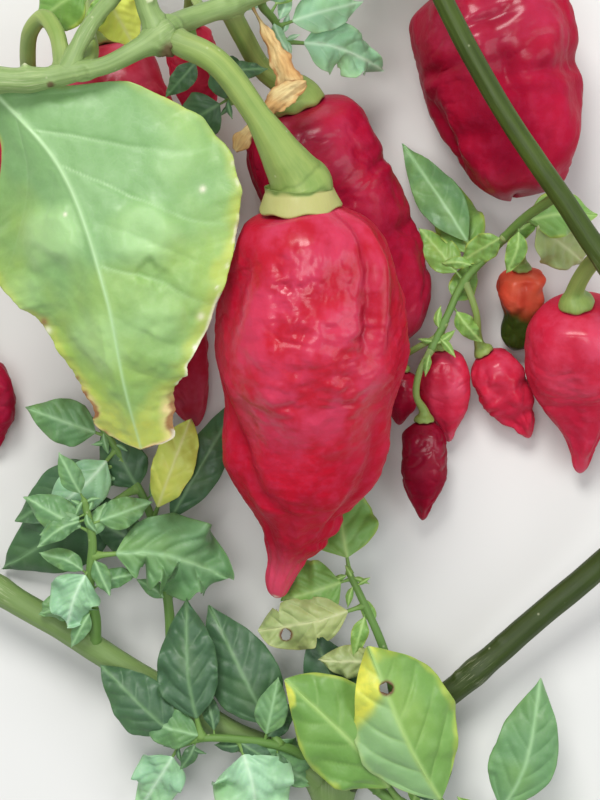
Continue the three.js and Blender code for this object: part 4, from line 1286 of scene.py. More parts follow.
@dataclass(frozen=True)
class Blade:
    """One leaf of a shoot: where on its twig it grows, its heading from +x, its length seen from above, its
    width, the rise of its tip over its base, its tint and its form.

    The bend is the midrib's sideways bow as a share of the length, the sides name the outlines left and right
    of it, tipped is how far back its yellow tip reaches, a bite is (place along it, side, depth, width), and
    pale is how much paler its left half is: painted light on the half that faces the sky."""

    at: float
    heading: float
    length: float
    width: float
    rise: float
    tint: Tint = Tint.MINT
    fold: float = 14
    wave: float = 0.5
    curl: float = 0.0
    bend: float = 0.0
    sides: tuple[str, str] = ("", "")
    tipped: float = 0.0
    holes: tuple[Spot, ...] = ()
    bites: tuple[tuple[float, float, float, float], ...] = ()
    pale: float = 0.0

    PETIOLE = 0.16
    ARCH = 0.09
    CREST = 0.45
    BROAD = 0.38  # a leaf wider than this share of its length is ovate, and a narrower one is a lance
    ROWS, HALF_ROW = 76, 19  # the grid of a leaf that is longer than 18 mm
    FINENESS = ((18, 1.0), (8, 0.62), (0, 0.38))  # how fine the grid is, by the least length
    HOLED = (110, 40)  # the grid of a leaf with holes

    def midrib(self, base: Array, run: Array) -> Route:
        """The line from its base to its tip, raised near its middle by a share of its length.

        Args:
            base: where the leaf leaves its twig.
            run: the stations.

        Returns:
            The line.
        """
        heading = math.radians(self.heading)
        ahead = np.array([math.cos(heading), math.sin(heading), 0.0])
        tip = base + ahead * self.length + np.array([0, 0, self.rise])
        crest = base + (tip - base) * self.CREST + np.array([0, 0, self.length * self.ARCH])
        crest += np.array([-ahead[1], ahead[0], 0]) * self.bend * self.length
        return Route.through((base, crest, tip), run)

    def half_width(self, run: Array, side: Array, field: Ripple) -> Array:
        """Half the width: its outlines, made uneven by a random field, less its bites.

        Args:
            run: the stations.
            side: 0 on the left and 1 on the right.
            field: the random field.

        Returns:
            Half the width at each place.
        """
        plain = "ovate" if self.width / self.length > self.BROAD else "lance"
        left, right = (curve_at(OUTLINES[name or plain], run) for name in self.sides)
        uneven = [1 + 0.06 * field.rough(spots(run * 6, k * 3.7, 0)) for k in (0, 1)]
        half = 0.5 * self.width * np.where(side > 0, right * uneven[1], left * uneven[0])
        for at, hand, depth, width in self.bites:
            rough = 1 + 0.5 * field.rough(spots(run * 40, 0, 0.3))
            half = half * (1 - depth * np.exp(-(((run - at) / width) ** 4)) * rough * (side == hand))
        return half

    def pierce(self, top: Array, cell: float, field: Ripple) -> tuple[Array, Array | None]:
        """Makes the holes. Places close to a hole's rim are moved onto it.

        Args:
            top: the places of the upper side, which are changed.
            cell: how close to a rim a place has to be.
            field: what makes the rims uneven.

        Returns:
            A mask of the charred rims, and which faces are holes, if there are any.
        """
        gone = None
        char = np.zeros(top.shape[:2])
        for hole in self.holes:
            distance = hole.distance(top)
            size = hole.size * (1 + 0.3 * field.broad(top * 0.8))
            snapped = np.abs(distance - size) < cell
            pull = np.where(snapped, size / np.maximum(distance, 1e-3), 1)[..., None] - 1
            top[..., :2] += pull * (top[..., :2] - np.array([hole.x, hole.y]))
            inside = hole.distance(top) < size + 0.02 * cell
            quads = inside[:-1, :-1] & inside[1:, :-1] & inside[:-1, 1:] & inside[1:, 1:]
            gone = quads if gone is None else gone | quads
            char = np.maximum(char, 1 - step(hole.size * 1.05, hole.size * 1.6, hole.distance(top)))
        return char, gone

    def surface(self, base: Array, seed: int) -> tuple[Array, dict[str, Array], Pair, Array | None]:
        """The blade: an outline folded along its midrib, swollen between side veins that lean to the tip,
        with a waved margin, and closed by its underside.

        Args:
            base: where the leaf leaves its twig.
            seed: of its irregularities.

        Returns:
            What Shell.add takes: its rings, their masks, the size of its map, and its holes.
        """
        rng = np.random.default_rng(seed)
        fine = next(share for least, share in self.FINENESS if self.length > least)
        rows, half_row = self.HOLED if self.holes else (round(self.ROWS * fine), round(self.HALF_ROW * fine))
        run = np.linspace(0, 1, rows)
        route = self.midrib(base, self.PETIOLE + (1 - self.PETIOLE) * run)
        across = np.linspace(-1, 1, 2 * half_row + 1)
        across = np.sign(across) * np.abs(across) ** 1.1
        length = route.length * (1 - self.PETIOLE)
        field, veins = Ripple(seed), rng.uniform(4.6, 6.2)
        run, across = run[:, None], across[None]
        far, side = np.abs(across), np.where(across > 0, 1.0, 0.0)
        reach = np.maximum(self.half_width(run, side, field), 0.1) * far
        phase = (run - reach / length * (0.75 + 0.5 * far)) * veins + 0.35 * side
        nearest = np.abs(phase - np.round(phase)) * length / veins
        body = np.sin(np.pi * far ** 0.8) * step(0.02, 0.14, run) * (1 - step(0.8, 0.98, run))
        swell = (0.012 + 0.014 * self.wave) * self.width * np.abs(np.sin(np.pi * phase)) ** 0.8 * body
        beat = 2 * np.pi * (run * rng.uniform(2.2, 3.4) + 0.5 * side + rng.uniform())
        waves = self.wave * 0.07 * self.width * far ** 2.2 * np.sin(beat) * step(0.03, 0.3, run)
        soft = 0.05 * self.width
        fold = math.radians(self.fold)
        drop = (np.sqrt(reach ** 2 + soft ** 2) - soft) * math.sin(fold)
        places = spots(run * length, reach * np.sign(across), 0.0)
        rumple = (0.035 + 0.035 * self.wave) * self.width * field.rough(places / (0.36 * self.width))
        rumple = rumple * far ** 0.5
        height = swell + waves - drop - self.curl * self.length * run ** 3 + rumple * step(0.0, 0.2, run)
        height = height - 0.008 * self.width * hump(nearest, 0.03 * self.width) * body
        top = route.blade(np.sign(across) * reach * math.cos(fold), height)
        char, gone = self.pierce(top, 0.5 * max(length / rows, self.width / (2 * half_row)), field)
        skin = np.clip(0.01 * self.width, 0.06, 0.15) * (1 - 0.5 * far)
        skin = skin + 0.12 * hump(reach, 0.35) * (1 - 0.7 * run)
        midrib = hump(reach, 0.2 + 0.014 * self.width)
        branch = hump(nearest, 0.1 + 0.01 * self.width) * (1 - far) ** 0.5 * 0.28
        edge = step(0.86, 1.0, far + 0.08 * field.at(places * 0.6)) * 0.35 + 0 * run
        warm = np.clip(0.5 * field.broad(places / (0.5 * self.width) + 5.0) + 0.1, 0, 1)
        late = run + self.tipped * (0.7 * (1 - side) * far ** 0.5 - 0.6 * side) + 0.04 * field.at(places / 2)
        yellow = step(1 - self.tipped, 1 - 0.5 * self.tipped, late) if self.tipped else 0
        flat = np.zeros(top.shape[:2])
        masks = {"vein": np.maximum(midrib, branch), "edge": np.maximum(edge, yellow), "warm": warm + flat,
                 "tone": flat + rng.uniform(0, 0.5), "scorch": flat, "char": char, "fleck": flat}
        masks = {name: both_sides(mask) for name, mask in masks.items()}
        # painted light: the left half of a leaf given pale takes the under colour, as the side facing the sky
        pale = (flat + self.pale) * (1 - side) * (1 - yellow)
        masks["under"] = np.maximum(underside(top), both_sides(pale))
        return sheets(top, route.up, skin, skin), masks, (2 * self.width, length), gone

    def petiole(self, base: Array) -> Body:
        """The leaf's stalk: a thin tube from inside the twig, thinner as it runs out under the blade.

        Args:
            base: where the leaf leaves its twig.

        Returns:
            Its rings, their masks, and the size of its map.
        """
        run = np.linspace(0, 1, 16)
        route = self.midrib(base, run * (self.PETIOLE + 0.25))
        turn, run = wound(12, run)
        thick = np.clip(0.021 * self.length, 0.16, 0.6)
        radius = thick * (1.2 - 0.95 * run) * (1 + 0.9 * hump(run, 0.1))
        rings = route.round_ring(turn, radius) - route.up[:, None] * 0.5 * thick
        return rings, stem_masks(run), (2, route.length)


@dataclass(frozen=True)
class Shoot:
    """A mass of foliage: the line of its twig, its radius at both ends, its leaves, and how many young
    leaves stand between them."""

    name: str
    path: Path
    radius: Pair
    leaves: tuple[Blade, ...]
    young: int = 4
    size: Pair = (6, 10)

    TURN = 137.5  # degrees from one leaf to the next
    TUFT = 5  # leaves at the tip

    def twig(self) -> Limb:
        """The limb that carries the leaves."""
        return Limb(self.name, self.path, self.radius, (1.0, 0.3), around=28, pitch=0.5)

    def sprigs(self, seed: int) -> list[Blade]:
        """Smaller leaves in a spiral along the twig, and a tuft of curled ones at its tip.

        Args:
            seed: of the rule.

        Returns:
            The young leaves.
        """
        rng = np.random.default_rng(seed)
        tint, first = self.leaves[0].tint, rng.uniform(0, 360)

        def draw(low: float, high: float) -> float:
            """The next number of the seeded row, between two others."""
            return float(rng.uniform(low, high))

        found = []
        for k in range(self.young):
            length = draw(*self.size)
            found.append(Blade(
                0.3 + 0.62 * (k + draw(0, 0.7)) / self.young, float(first + self.TURN * k), length,
                length * draw(0.36, 0.48), draw(-0.25, 0.1) * length, tint, 20, 1.2, draw(0, 0.15),
                draw(-0.09, 0.09)))
        for k in range(self.TUFT):
            length = draw(2.6, 5.0)
            found.append(Blade(
                1.0 - 0.02 * k, float(first + self.TURN * k), length, length * 0.36, draw(0.1, 0.4) * length,
                tint, 30, 0.8, draw(0.1, 0.4), draw(-0.12, 0.12)))
        return found


F, M, B, D, Y, P = Tint
SHOOTS = (
    Shoot("shoot_low_left",
          ((-36, -43.6, 9), (-35.3, -38, 13), (-36, -32.5, 16), (-35.3, -23.8, 19), (-36.5, -16.9, 21)),
          (1.1, 0.6), (Blade(0.66, -11, 24, 15.5, -5.6, M, 16, 2.6, 0.1, 0.1, ("full", "full"),
          bites=((0.22, 1, 0.5, 0.05), (0.4, 1, 0.3, 0.04), (0.52, 1, 0.62, 0.035), (0.8, 1, 0.3, 0.05))),
          Blade(0.6, -112, 12, 10, -1, B, 22, 2.6, 0.15, -0.05, ("full", "ovate"),
                bites=((0.5, 0, 0.3, 0.06),)),
          Blade(0.42, -158, 10, 6, -1, M, 20, 1.8, 0.1), Blade(1, 116, 9, 4, 3, M),
          Blade(0.92, -155, 9, 4, -1, M), Blade(0.85, 20, 11, 5.5, -2, M, 16, 1.4),
          Blade(0.8, 152, 13, 6.5, 0, M, 18, 1.2)), 6),
    Shoot("shoot_mid_left",
          ((-22.5, -52.3, 7.8), (-23, -34.9, 9.5), (-26.1, -19.8, 10), (-31.7, -8.7, 12),
          (-34.6, -4.3, 12.5)), (1, 0.6), (Blade(0.95, 160, 15, 8, 3, M, 16, 1.2, 0.1),
          Blade(0.86, -150, 22, 10, -4, D),
          Blade(0.75, -149, 29, 14, -8, D), Blade(0.9, -137, 17, 8.5, 3, B, 14, 1.4, 0.1, 0.05),
          Blade(0.62, 69, 19, 7.5, 6, Y, 12, 1.0, 0.05, 0.0, ("full", "full")),
          Blade(0.55, 60, 30, 8, 0.5, D), Blade(0.7, 118, 15, 8, 1, D, 14, 1.0),
          Blade(0.5, 150, 14, 7, 2, D, 14, 1.2))),
    Shoot("foliage_low_left",
          ((2.5, -64.6, 5.8), (-1, -61, 10), (-6.9, -59.2, 12), (-16.4, -58.4, 13), (-20.8, -59.7, 12)),
          (1, 0.6), (Blade(0.85, 96, 24.6, 11, 2, D, 14, 1.8, bend=0.04),
          Blade(0.97, 136, 20, 10, 2, D, 14, 1.0), Blade(1, -121, 14.5, 9.5, -8, B, 16, 2.2),
          Blade(0.62, -78, 17, 14.5, -2.5, B, 14, 2.6, 0.1, 0.05),
          Blade(0.55, -38, 14, 10, -5.5, M, 16, 2.0), Blade(0.35, 117, 27, 12.5, -2.4, D, 14, 0.8),
          Blade(0.8, 165, 13, 7, 0, M, 14, 1.4), Blade(0.45, 78, 12, 6, 4, M, 14, 1.2)), 6),
    Shoot("foliage_low_right",
          ((9.6, -64.6, 5.8), (13, -67.5, 9), (17.4, -70.5, 10), (29.5, -73.9, 11), (39.4, -75.2, 10)),
          (1.1, 0.6), (Blade(0.35, 132, 31, 16, 6, F, 12, 0.8, 0.0, -0.04, ("ovate", "full"), 0.1),
          Blade(0.62, 116, 35, 20, 9, F, 14, 0.7, 0.0, 0.03, ("slim", "full"), 0.28,
          (Spot(14.7, -48.9, 1.0),), pale=0.5),
          Blade(0.8, 72, 28, 12, 4, M, 10, 0.7, 0.0, -0.07, ("ovate", "slim")),
          Blade(0.2, 113, 31, 13.5, -1, D, 12, 0.8), Blade(1, -12, 16, 8, -3, F, 12, 0.8, 0.05, 0.05),
          Blade(0.5, 98, 17, 9, 0, D, 12, 1.0))),
    Shoot("shoot_centre",
          ((18.6, -57, 6.4), (16.5, -52, 10), (14.5, -43.2, 13), (10.7, -34.4, 13), (8.6, -30.1, 12)),
          (0.9, 0.6), (Blade(1, 99, 17, 12.5, -5, F, 12, 1.0),
          Blade(0.97, -162, 13, 11, -1, F, 14, 1.6, bites=((0.8, 0, 0.3, 0.08),)),
          Blade(0.8, 194, 19.3, 9.5, -2, P, 14, 1.8, 0.05, 0.02, ("full", "full"), 0.0,
                (Spot(-2.4, -40.6, 0.9),), ((0.35, 0, 0.3, 0.05), (0.75, 1, 0.3, 0.05))),
          Blade(0.45, 178, 12, 6, -0.6, P, 14, 1.6))),
    Shoot("shoot_right", ((42.2, 33.4, 35.3), (40.5, 32.4, 29), (37.1, 30, 22), (32.6, 25.2, 16),
          (28.2, 20.4, 14), (25.4, 14.6, 13.6), (22.6, 8.6, 13.4)), (0.9, 0.6),
          (Blade(0.36, 8, 14, 8, -3, F, 12, 1.2, bend=0.06), Blade(0.3, -30, 14, 9, -14, P, 12, 1.2),
          Blade(0.42, -150, 9, 5, -6, F, 14, 1.2), Blade(0.6, 121, 25, 8, -10, M),
          Blade(0.64, 104, 17, 9, -11, F, 12, 1.2), Blade(0.7, 128, 12, 6, -4, F, 14, 1.2),
          Blade(0.82, 60, 9.4, 5, -5, F))),
    Shoot("shoot_back", ((-5.6, 65.6, 38.4), (-6.2, 64.6, 33), (-4.3, 63, 28), (-2.7, 60, 25)), (0.8, 0.6),
          (Blade(0.8, 21, 15.4, 7, -7.9, B, 12, 1.4), Blade(0.6, 60, 12, 5, -4, F, 14, 1.4),
          Blade(1, -10, 18.6, 9, -12, B, 14, 2.0, 0.1, 0.06,
                bites=((0.45, 1, 0.4, 0.05), (0.7, 1, 0.35, 0.05))))),
    Shoot("shoot_under", ((-17.6, 60.4, 45.4), (-16.8, 57, 39), (-14.4, 53.8, 32), (-11.4, 49.5, 26)),
          (0.8, 0.6), (Blade(0.95, -150, 10.5, 8, -3, D), Blade(0.5, -32, 8.5, 7, -9, D)), 2),
    Shoot("shoot_side", ((-29.8, 62.4, 48.8), (-31, 65.5, 45), (-33, 67, 41)), (0.8, 0.6),
          (Blade(1, -150, 12, 9, -6, F), Blade(0.8, -60, 11, 8, -6, Y)), 2),
    Shoot("tip_up", ((-25.6, 76.4, 50), (-27.1, 83.4, 47), (-29.4, 90.2, 42)), (1.1, 0.6),
          (Blade(0.2, 47, 13, 8, -10, F), Blade(0.45, 179, 12, 8, -7, F), Blade(0.8, 73, 14, 8, -9, F),
          Blade(1, 134, 12, 7.5, -8, F))),
    Shoot("tip_left", ((-21.4, 71.4, 44), (-17.7, 77.8, 40), (-13, 82.8, 36)), (1.1, 0.6),
          (Blade(0.2, -178, 14, 8, -6, F), Blade(0.5, -7, 12, 7.5, -12, F),
          Blade(0.8, 93, 15, 7.6, -7.7, F), Blade(1, 30, 12, 7.6, -8, F))),
    Shoot("tip_middle", ((6.5, 72.8, 33), (9.6, 77.8, 29), (13, 83, 26)), (1.1, 0.6),
          (Blade(0.15, -37, 9, 7, -9, F), Blade(0.5, 126, 12, 7.7, -5, F), Blade(0.9, 40, 13.6, 8, -8.6, F),
          Blade(1, 107, 13.8, 8, -6, F))),
    Shoot("tip_right", ((16.9, 78.3, 38), (15.9, 85.4, 35), (17.1, 92.1, 31)), (1.5, 0.7),
          (Blade(0.2, 27, 13, 8, -8.8, F), Blade(0.5, 141, 13, 8, -7, F), Blade(0.85, 49, 15, 8.4, -10, F),
          Blade(1, 101, 14, 8, -9, F))),
)


@dataclass(frozen=True)
class SideVein:
    """A side vein of the large leaf: where it leaves the midrib, how steeply it runs on towards the tip for
    each millimetre across, and how that lessens."""

    start: float
    slope: float
    ease: float

    def ahead(self, run: Array, length: float, across: Array) -> Array:
        """How far past the vein a place lies, by its share of the leaf's length and its way across."""
        held = np.minimum(across, 0.5 * self.slope / max(self.ease, 1e-6))
        return (run - self.start) * length - (self.slope * held - self.ease * held ** 2)


@dataclass(frozen=True)
class LargeLeaf:
    """The large leaf: its midrib, half widths, folds, side veins as SideVein has them, and its charred
    places, swellings with their heights, and pale flecks as Spot has them."""

    path: Path = ((-48.8, 49.2, 47.2), (-37.4, 36, 49.2), (-30.5, 16.6, 48.6), (-27.9, 1.8, 43),
                  (-25.8, -7.9, 36))
    half: Pair = (25, 21)
    fold: Pair = (-1, 39)
    thickness: float = 0.5
    veins: tuple[tuple[Triple, ...], ...] = (
        ((-0.1, 1.1, 0.02), (0.035, 1.1, 0.024), (0.145, 1.147, 0.0247), (0.25, 1.25, 0.0235),
         (0.385, 0.9, 0.01), (0.505, 0.62, 0.0), (0.63, 0.75, 0.008), (0.75, 0.8, 0.01), (0.86, 0.8, 0.01),
         (0.97, 0.8, 0.01)),
        ((-0.12, 1.1, 0.01), (-0.01, 1.15, 0.01), (0.09, 1.3, 0.005), (0.235, 1.1, 0.01), (0.36, 1.0, 0.01),
         (0.48, 0.9, 0.01), (0.6, 0.85, 0.01), (0.72, 0.8, 0.01), (0.83, 0.8, 0.01), (0.94, 0.8, 0.01)),
    )
    strong: tuple[int, ...] = (2, 3, 5)
    chars: tuple[Triple, ...] = (
        (-41.2, 12.6, 0.75), (-35.9, 3.6, 0.4), (-34.6, 1.2, 0.5), (-33.0, -2.4, 0.5), (-31.8, -5.4, 0.6),
        (-27.6, -8.4, 0.5))
    bulges: tuple[tuple[Triple, float], ...] = (
        ((-38.9, 26.0, 5.4), 1.5), ((-31.2, 9.0, 4.6), 1.0), ((-24.4, 26.0, 5.0), 1.1),
        ((-23.8, 20.2, 1.6), -0.7), ((-21.6, 19.0, 1.2), -0.5), ((-44.6, 16.0, 4.0), 0.7),
        ((-22.6, 12.6, 3.4), 0.6), ((-19.8, 38.0, 4.4), 0.5))
    flecks: tuple[Triple, ...] = (
        (-15.2, 32.9, 0.5), (-36.7, 29.0, 0.3), (-10.4, 37.0, 0.4), (-15.6, 13.2, 0.5), (-40.6, 11.2, 0.6),
        (-11.4, 21.0, 0.3), (-16.6, 8.4, 0.35), (-13.0, 17.6, 0.25))

    ROWS, HALF_ROW = 236, 66
    SEED = 21

    def among_veins(self, run: Array, length: float, reach: Array, right: Array,
                    wobble: Array) -> tuple[Array, Array, Array]:
        """Where places lie among the side veins.

        Args:
            run: the share of the midrib's length.
            length: of the midrib.
            reach: the distance from the midrib.
            right: whether a place is right of it.
            wobble: how far a vein strays there.

        Returns:
            The vein behind each place, the share of the way from it to the next one, and the distance from
            the nearer one.
        """
        left_ahead, right_ahead = ([SideVein(*row).ahead(run, length, reach) for row in side]
                                   for side in self.veins)
        ahead = np.where(right, right_ahead, left_ahead) + wobble
        behind = np.clip((ahead > 0).sum(axis=0) - 1, 0, len(ahead) - 2)
        past = np.take_along_axis(ahead, behind[None], 0)[0]
        short = -np.take_along_axis(ahead, behind[None] + 1, 0)[0]
        share = np.clip(past / np.maximum(past + short, 0.1), 0, 1)
        return behind, share, np.minimum(np.abs(past), np.abs(short))

    def surface(self) -> Body:
        """The blade: two outlined halves folded along the midrib, swollen between curved side veins, with a
        sunken line on each vein, a raised midrib and an uneven margin, closed by its underside.

        Returns:
            Its rings, their masks, and the size of its map.
        """
        run = np.linspace(0, 1, self.ROWS)
        route = Route.through(self.path, run)
        run, across = run[:, None], np.linspace(-1, 1, 2 * self.HALF_ROW + 1)[None]
        far, right = np.abs(across), across > 0
        field = Ripple(self.SEED)
        sides = np.where(right, 1.0, 0.0)
        rim = field.rough(spots(run * 30, sides * 5.3, 0.0), 4)
        outline = np.where(right, self.half[1] * curve_at(OUTLINES["large_right"], run),
                           self.half[0] * curve_at(OUTLINES["large_left"], run))
        outline = outline * (1 + (0.014 + 0.11 * step(0.72, 0.9, run)) * rim)
        reach = np.maximum(outline, 0.3) * far
        places = spots(run * route.length, reach * np.sign(across), 0.0)
        wobble = 0.5 * field.broad(places / 9.0 + 2.0) * step(0, 6, reach)
        behind, share, gap = self.among_veins(run, route.length, reach, right, wobble)
        nearest = behind + (share > 0.5)
        bold = np.where(np.isin(nearest, self.strong) & ~right, 1.0,
                        np.where(right & (nearest == self.strong[0]), 0.4, 0.12))
        inside = np.sin(np.pi * far ** 0.75) * step(0.02, 0.16, run) * (1 - step(0.82, 0.99, run))
        plump = 0.8 + 0.45 * np.sin(behind * 2.4 + sides * 1.7)
        swell = (0.5 - 0.2 * sides) * plump * np.sin(np.pi * share) ** 0.8 * inside
        broad = 0.6 * field.broad(places / 10.0 + 4.2) * np.minimum(1, reach / 4)
        small = (0.14 + 0.16 * step(0.3, 0.7, run)) * field.broad(places / 2.6 + 8.8)
        small = small * np.minimum(1, reach / 2)
        waved = 0.55 * np.sin(2 * np.pi * (run * 5.5 + 0.3 * sides)) + 0.5 * rim
        margin = waved * far ** 5 * step(0.05, 0.3, run)
        fold = np.radians(np.where(right, self.fold[1], self.fold[0]))
        drop = (np.sqrt(reach ** 2 + 1.5 ** 2) - 1.5) * np.sin(fold)
        height = swell + broad + small + margin - drop - 0.14 * bold * hump(gap, 0.5) * inside
        height = height + 0.28 * hump(reach, 0.55) * (1 - 0.75 * run)
        spread = (np.sign(across) * reach * np.cos(fold))[..., None]
        flat = route.places[:, None] + route.side[:, None] * spread
        blurred = flat + 1.5 * field.rough(places / 6.0 + 3.7)[..., None]
        swollen = [tall * step(0.12, 0.75, Spot(*bulge).on(blurred)) for bulge, tall in self.bulges]
        height = height + sum(swollen) * np.minimum(1, reach / 2.5)
        top = flat + route.up[:, None] * height[..., None]
        skin = 0.5 * self.thickness * (1 - 0.55 * far ** 3) + 0.35 * hump(reach, 0.9) * (1 - 0.8 * run)
        rings = sheets(top, route.up, 0.5 * skin, skin)
        midrib = hump(reach, 0.4 - 0.15 * run) * (1 - 0.45 * run)
        branch = bold * hump(gap, 0.24) * (1 - far) ** 0.5 * (0.62 - 0.45 * run)
        inset = outline * (1 - far)
        ragged = field.rough(places / 4.0 + 1.3)
        patch = field.rough(places / 16.0 + 6.1)
        edge = 1 - step(0.0, 2.6, inset + 1.2 * ragged + 1.4 * (1 - step(0.25, 0.5, run))
                        - 5.5 * step(0.8, 0.97, run) - 1.0 * step(0.45, 0.7, run))
        warm = 0.1 + 0.75 * step(0.25, 1.0, run) + 0.65 * patch + 0.3 * far ** 3 * step(0.2, 0.4, run)
        tip = step(0.8, 0.88, run) * np.where(right, 1.0, step(0.83, 0.9, run))
        burnt = (1 - step(0.8, 2.6, inset + 1.1 * ragged)) * tip
        end = 0.85 * step(0.82, 0.96, run + 0.04 * ragged)
        thin = (1 - step(0.3, 1.0, inset + 0.5 * ragged)) * step(0.3, 0.45, run) * (1 - sides)
        char = (1 - step(0.2, 1.1, inset + 0.8 * rim)) * tip + sum(Spot(*spot).on(top) for spot in self.chars)
        fleck = sum(Spot(*spot).on(top) * (1 + 0.8 * ragged) for spot in self.flecks)
        masks = {"vein": np.maximum(midrib, branch), "edge": np.maximum(edge * 0.5, end), "scorch": burnt,
                 "char": 0.9 * char, "fleck": fleck + 0.8 * thin * step(-0.2, 0.3, ragged), "warm": warm,
                 "tone": 0 * far + 0 * run}
        masks = {name: both_sides(np.clip(mask, 0, 1)) for name, mask in masks.items()}
        # painted sheen: the tops of the swellings take the paler under colour
        masks["under"] = np.maximum(underside(top), both_sides(np.clip(0.42 * sum(swollen), 0, 0.6)))
        return rings, masks, (2 * sum(self.half), route.length)


@dataclass(frozen=True)
class DryLeaf:
    """The dry leaf caught between two stalks: a crumpled strip, and its end folded back over it."""

    outline: str
    path: Path
    half: float = 1.9

    ROWS, ACROSS = 90, 19
    SEED = 31
    SKIN = 0.09

    def surface(self) -> Body:
        """The strip: a curled section whose width and curl change along it, crumpled by a random field.

        Returns:
            Its rings, their masks, and the size of its map.
        """
        run = np.linspace(0, 1, self.ROWS)
        route = Route.through(self.path, run)
        run, across = run[:, None], np.linspace(-1, 1, self.ACROSS)[None]
        field = Ripple(self.SEED)
        reach = self.half * curve_at(OUTLINES[self.outline], run) * across
        reach = reach * (1 + 0.3 * field.rough(spots(run * 9, across * 0.2, 0.0)))
        places = spots(run * route.length / 3, reach / 0.9, 0.0)
        height = 0.5 * np.sin(2.4 * across + 3 * run) + 0.45 * field.folds(places)
        top = route.blade(reach, height)
        skin = np.full(top.shape[:2], self.SKIN)
        rings = sheets(top, route.up, skin, skin)
        edge = step(0.75, 1.05, np.abs(across) + 0.25 * field.at(places * 2)) * np.ones_like(run)
        return rings, {"edge": both_sides(edge)}, (4 * self.half, route.length)


DRY_STRIPS = (
    DryLeaf("strip", ((-8, 64.3, 36), (-4.9, 58.6, 36.6), (-2.7, 54, 36.6), (-1.1, 50.2, 36))),
    DryLeaf("flap", ((1, 51.4, 36.4), (-2.4, 49.3, 37.4), (-6.2, 46.2, 36.6), (-10.6, 40.6, 35))),
)
CORES = {limb.name: limb.core() for limb in (*LIMBS, *(shoot.twig() for shoot in SHOOTS))}
CORES.update({f"stalk_{pod.name}": pod.stalk_core() for pod in PODS})


def others(name: str) -> list[Core]:
    """The middle lines of all limbs but one."""
    return [core for key, core in CORES.items() if key != name]


@dataclass(frozen=True)
class Stems:
    """The woody limbs, each its own piece, an arm from its foot to its tip in one."""

    # Two copies of one bark: the darker one is painted shade for the limbs in SHADED
    sunny: StemFinish = StemFinish("green_bark", (150, 174, 110), (104, 132, 72))
    shaded: StemFinish = StemFinish("dark_green_bark", (74, 94, 28), (42, 58, 14))

    SEED = 100

    def build(self) -> None:
        """Builds each limb in place of its solids."""
        sunny, shaded = self.sunny.build(), self.shaded.build()
        for number, limb in enumerate(LIMBS):
            Shell().add(*limb.body(self.SEED + number, others(limb.name))).publish(
                f"{limb.name}_bark", shaded if limb.name in SHADED else sunny, "bark",
                limb.stands_for or (limb.name,))


@dataclass(frozen=True)
class Pods:
    """The pods and their stalks, each its own piece."""

    # Copies of one skin: the two darker ones are painted shade for pods lying under others, and the lighter,
    # pinker one is painted light on small pods in the open
    skins: tuple[tuple[FleshFinish, tuple[str, ...]], ...] = (
        (FleshFinish("ripe_skin", (188, 24, 46), (154, 12, 38), (208, 70, 106)), ("front",)),
        (FleshFinish("dark_skin", (172, 22, 52), (126, 8, 36), (188, 54, 90)),
         ("behind", "top_right", "near_front", "far_left", "under_leaf")),
        (FleshFinish("lit_pink_skin", (202, 40, 66), (174, 24, 54), (222, 94, 126)),
         ("left", "right", "back", "low", "slanting")),
        (FleshFinish("deep_shaded_skin", (146, 16, 42), (104, 6, 28), (164, 42, 74)), ("lowest",)),
        (FleshFinish("unripe_skin", (228, 88, 62), (204, 56, 44), (236, 128, 96)), ("unripe",)),
    )
    stalk: StemFinish = StemFinish("stalk_skin", (160, 176, 98), (114, 144, 68))

    def build(self) -> None:
        """Builds each pod and stalk in place of its solid."""
        stalk = self.stalk.build()
        worn = {name: skin for finish, names in self.skins for skin in (finish.build(),) for name in names}
        for pod in PODS:
            for node, body, material, slot in (
                    (f"pod_{pod.name}", pod.skin(), worn[pod.name], "unripe" if pod.unripe else "ripe"),
                    (f"stalk_{pod.name}", pod.stem(others(f"stalk_{pod.name}")), stalk, "stalk")):
                Shell().add(*body).publish(f"{node}_skin", material, slot, (node,))


@dataclass(frozen=True)
class Foliage:
    """The masses of leaves: one piece of twigs, one of leaf stalks, and one of leaves for each tint. The
    leaves of the shoots at the tips are a piece of their own, to keep each piece under 200,000 triangles."""

    twig: StemFinish = StemFinish("twig_skin", (130, 164, 84), (88, 126, 58))

    TWIG_SEED, SPRIG_SEED, LEAF_SEED = 200, 300, 1000
    SEEDS_EACH = 40  # from one shoot's leaves to the next one's

    def build(self) -> None:
        """Builds the pieces in place of the masses' solids."""
        twigs, petioles = Shell(), Shell()
        leaves: dict[tuple[Tint, str], Shell] = {}
        worn: dict[tuple[Tint, str], list[str]] = {}
        for number, shoot in enumerate(SHOOTS):
            twigs.add(*shoot.twig().body(self.TWIG_SEED + number, others(shoot.name)))
            blades = [*shoot.leaves, *shoot.sprigs(self.SPRIG_SEED + number)]
            for place, blade in enumerate(blades, self.LEAF_SEED + self.SEEDS_EACH * number):
                base = Route.through(shoot.path, np.array([blade.at])).places[0]
                piece = blade.tint, "_tips" if shoot.name.startswith("tip_") else ""
                leaves.setdefault(piece, Shell()).add(*blade.surface(base, place))
                petioles.add(*blade.petiole(base))
                if shoot.name not in worn.setdefault(piece, []):
                    worn[piece].append(shoot.name)
        material = self.twig.build()
        for name, shell, slot in (("twigs", twigs, "bark"), ("leaf_stalks", petioles, "stalk")):
            shell.publish(name, material, slot, tuple(shoot.name for shoot in SHOOTS))
        skins = {tint: tint.value.build() for tint in Tint}
        for (tint, where), shell in leaves.items():
            shell.publish(f"leaves_{tint.name.lower()}{where}", skins[tint], "leaf", tuple(worn[tint, where]))


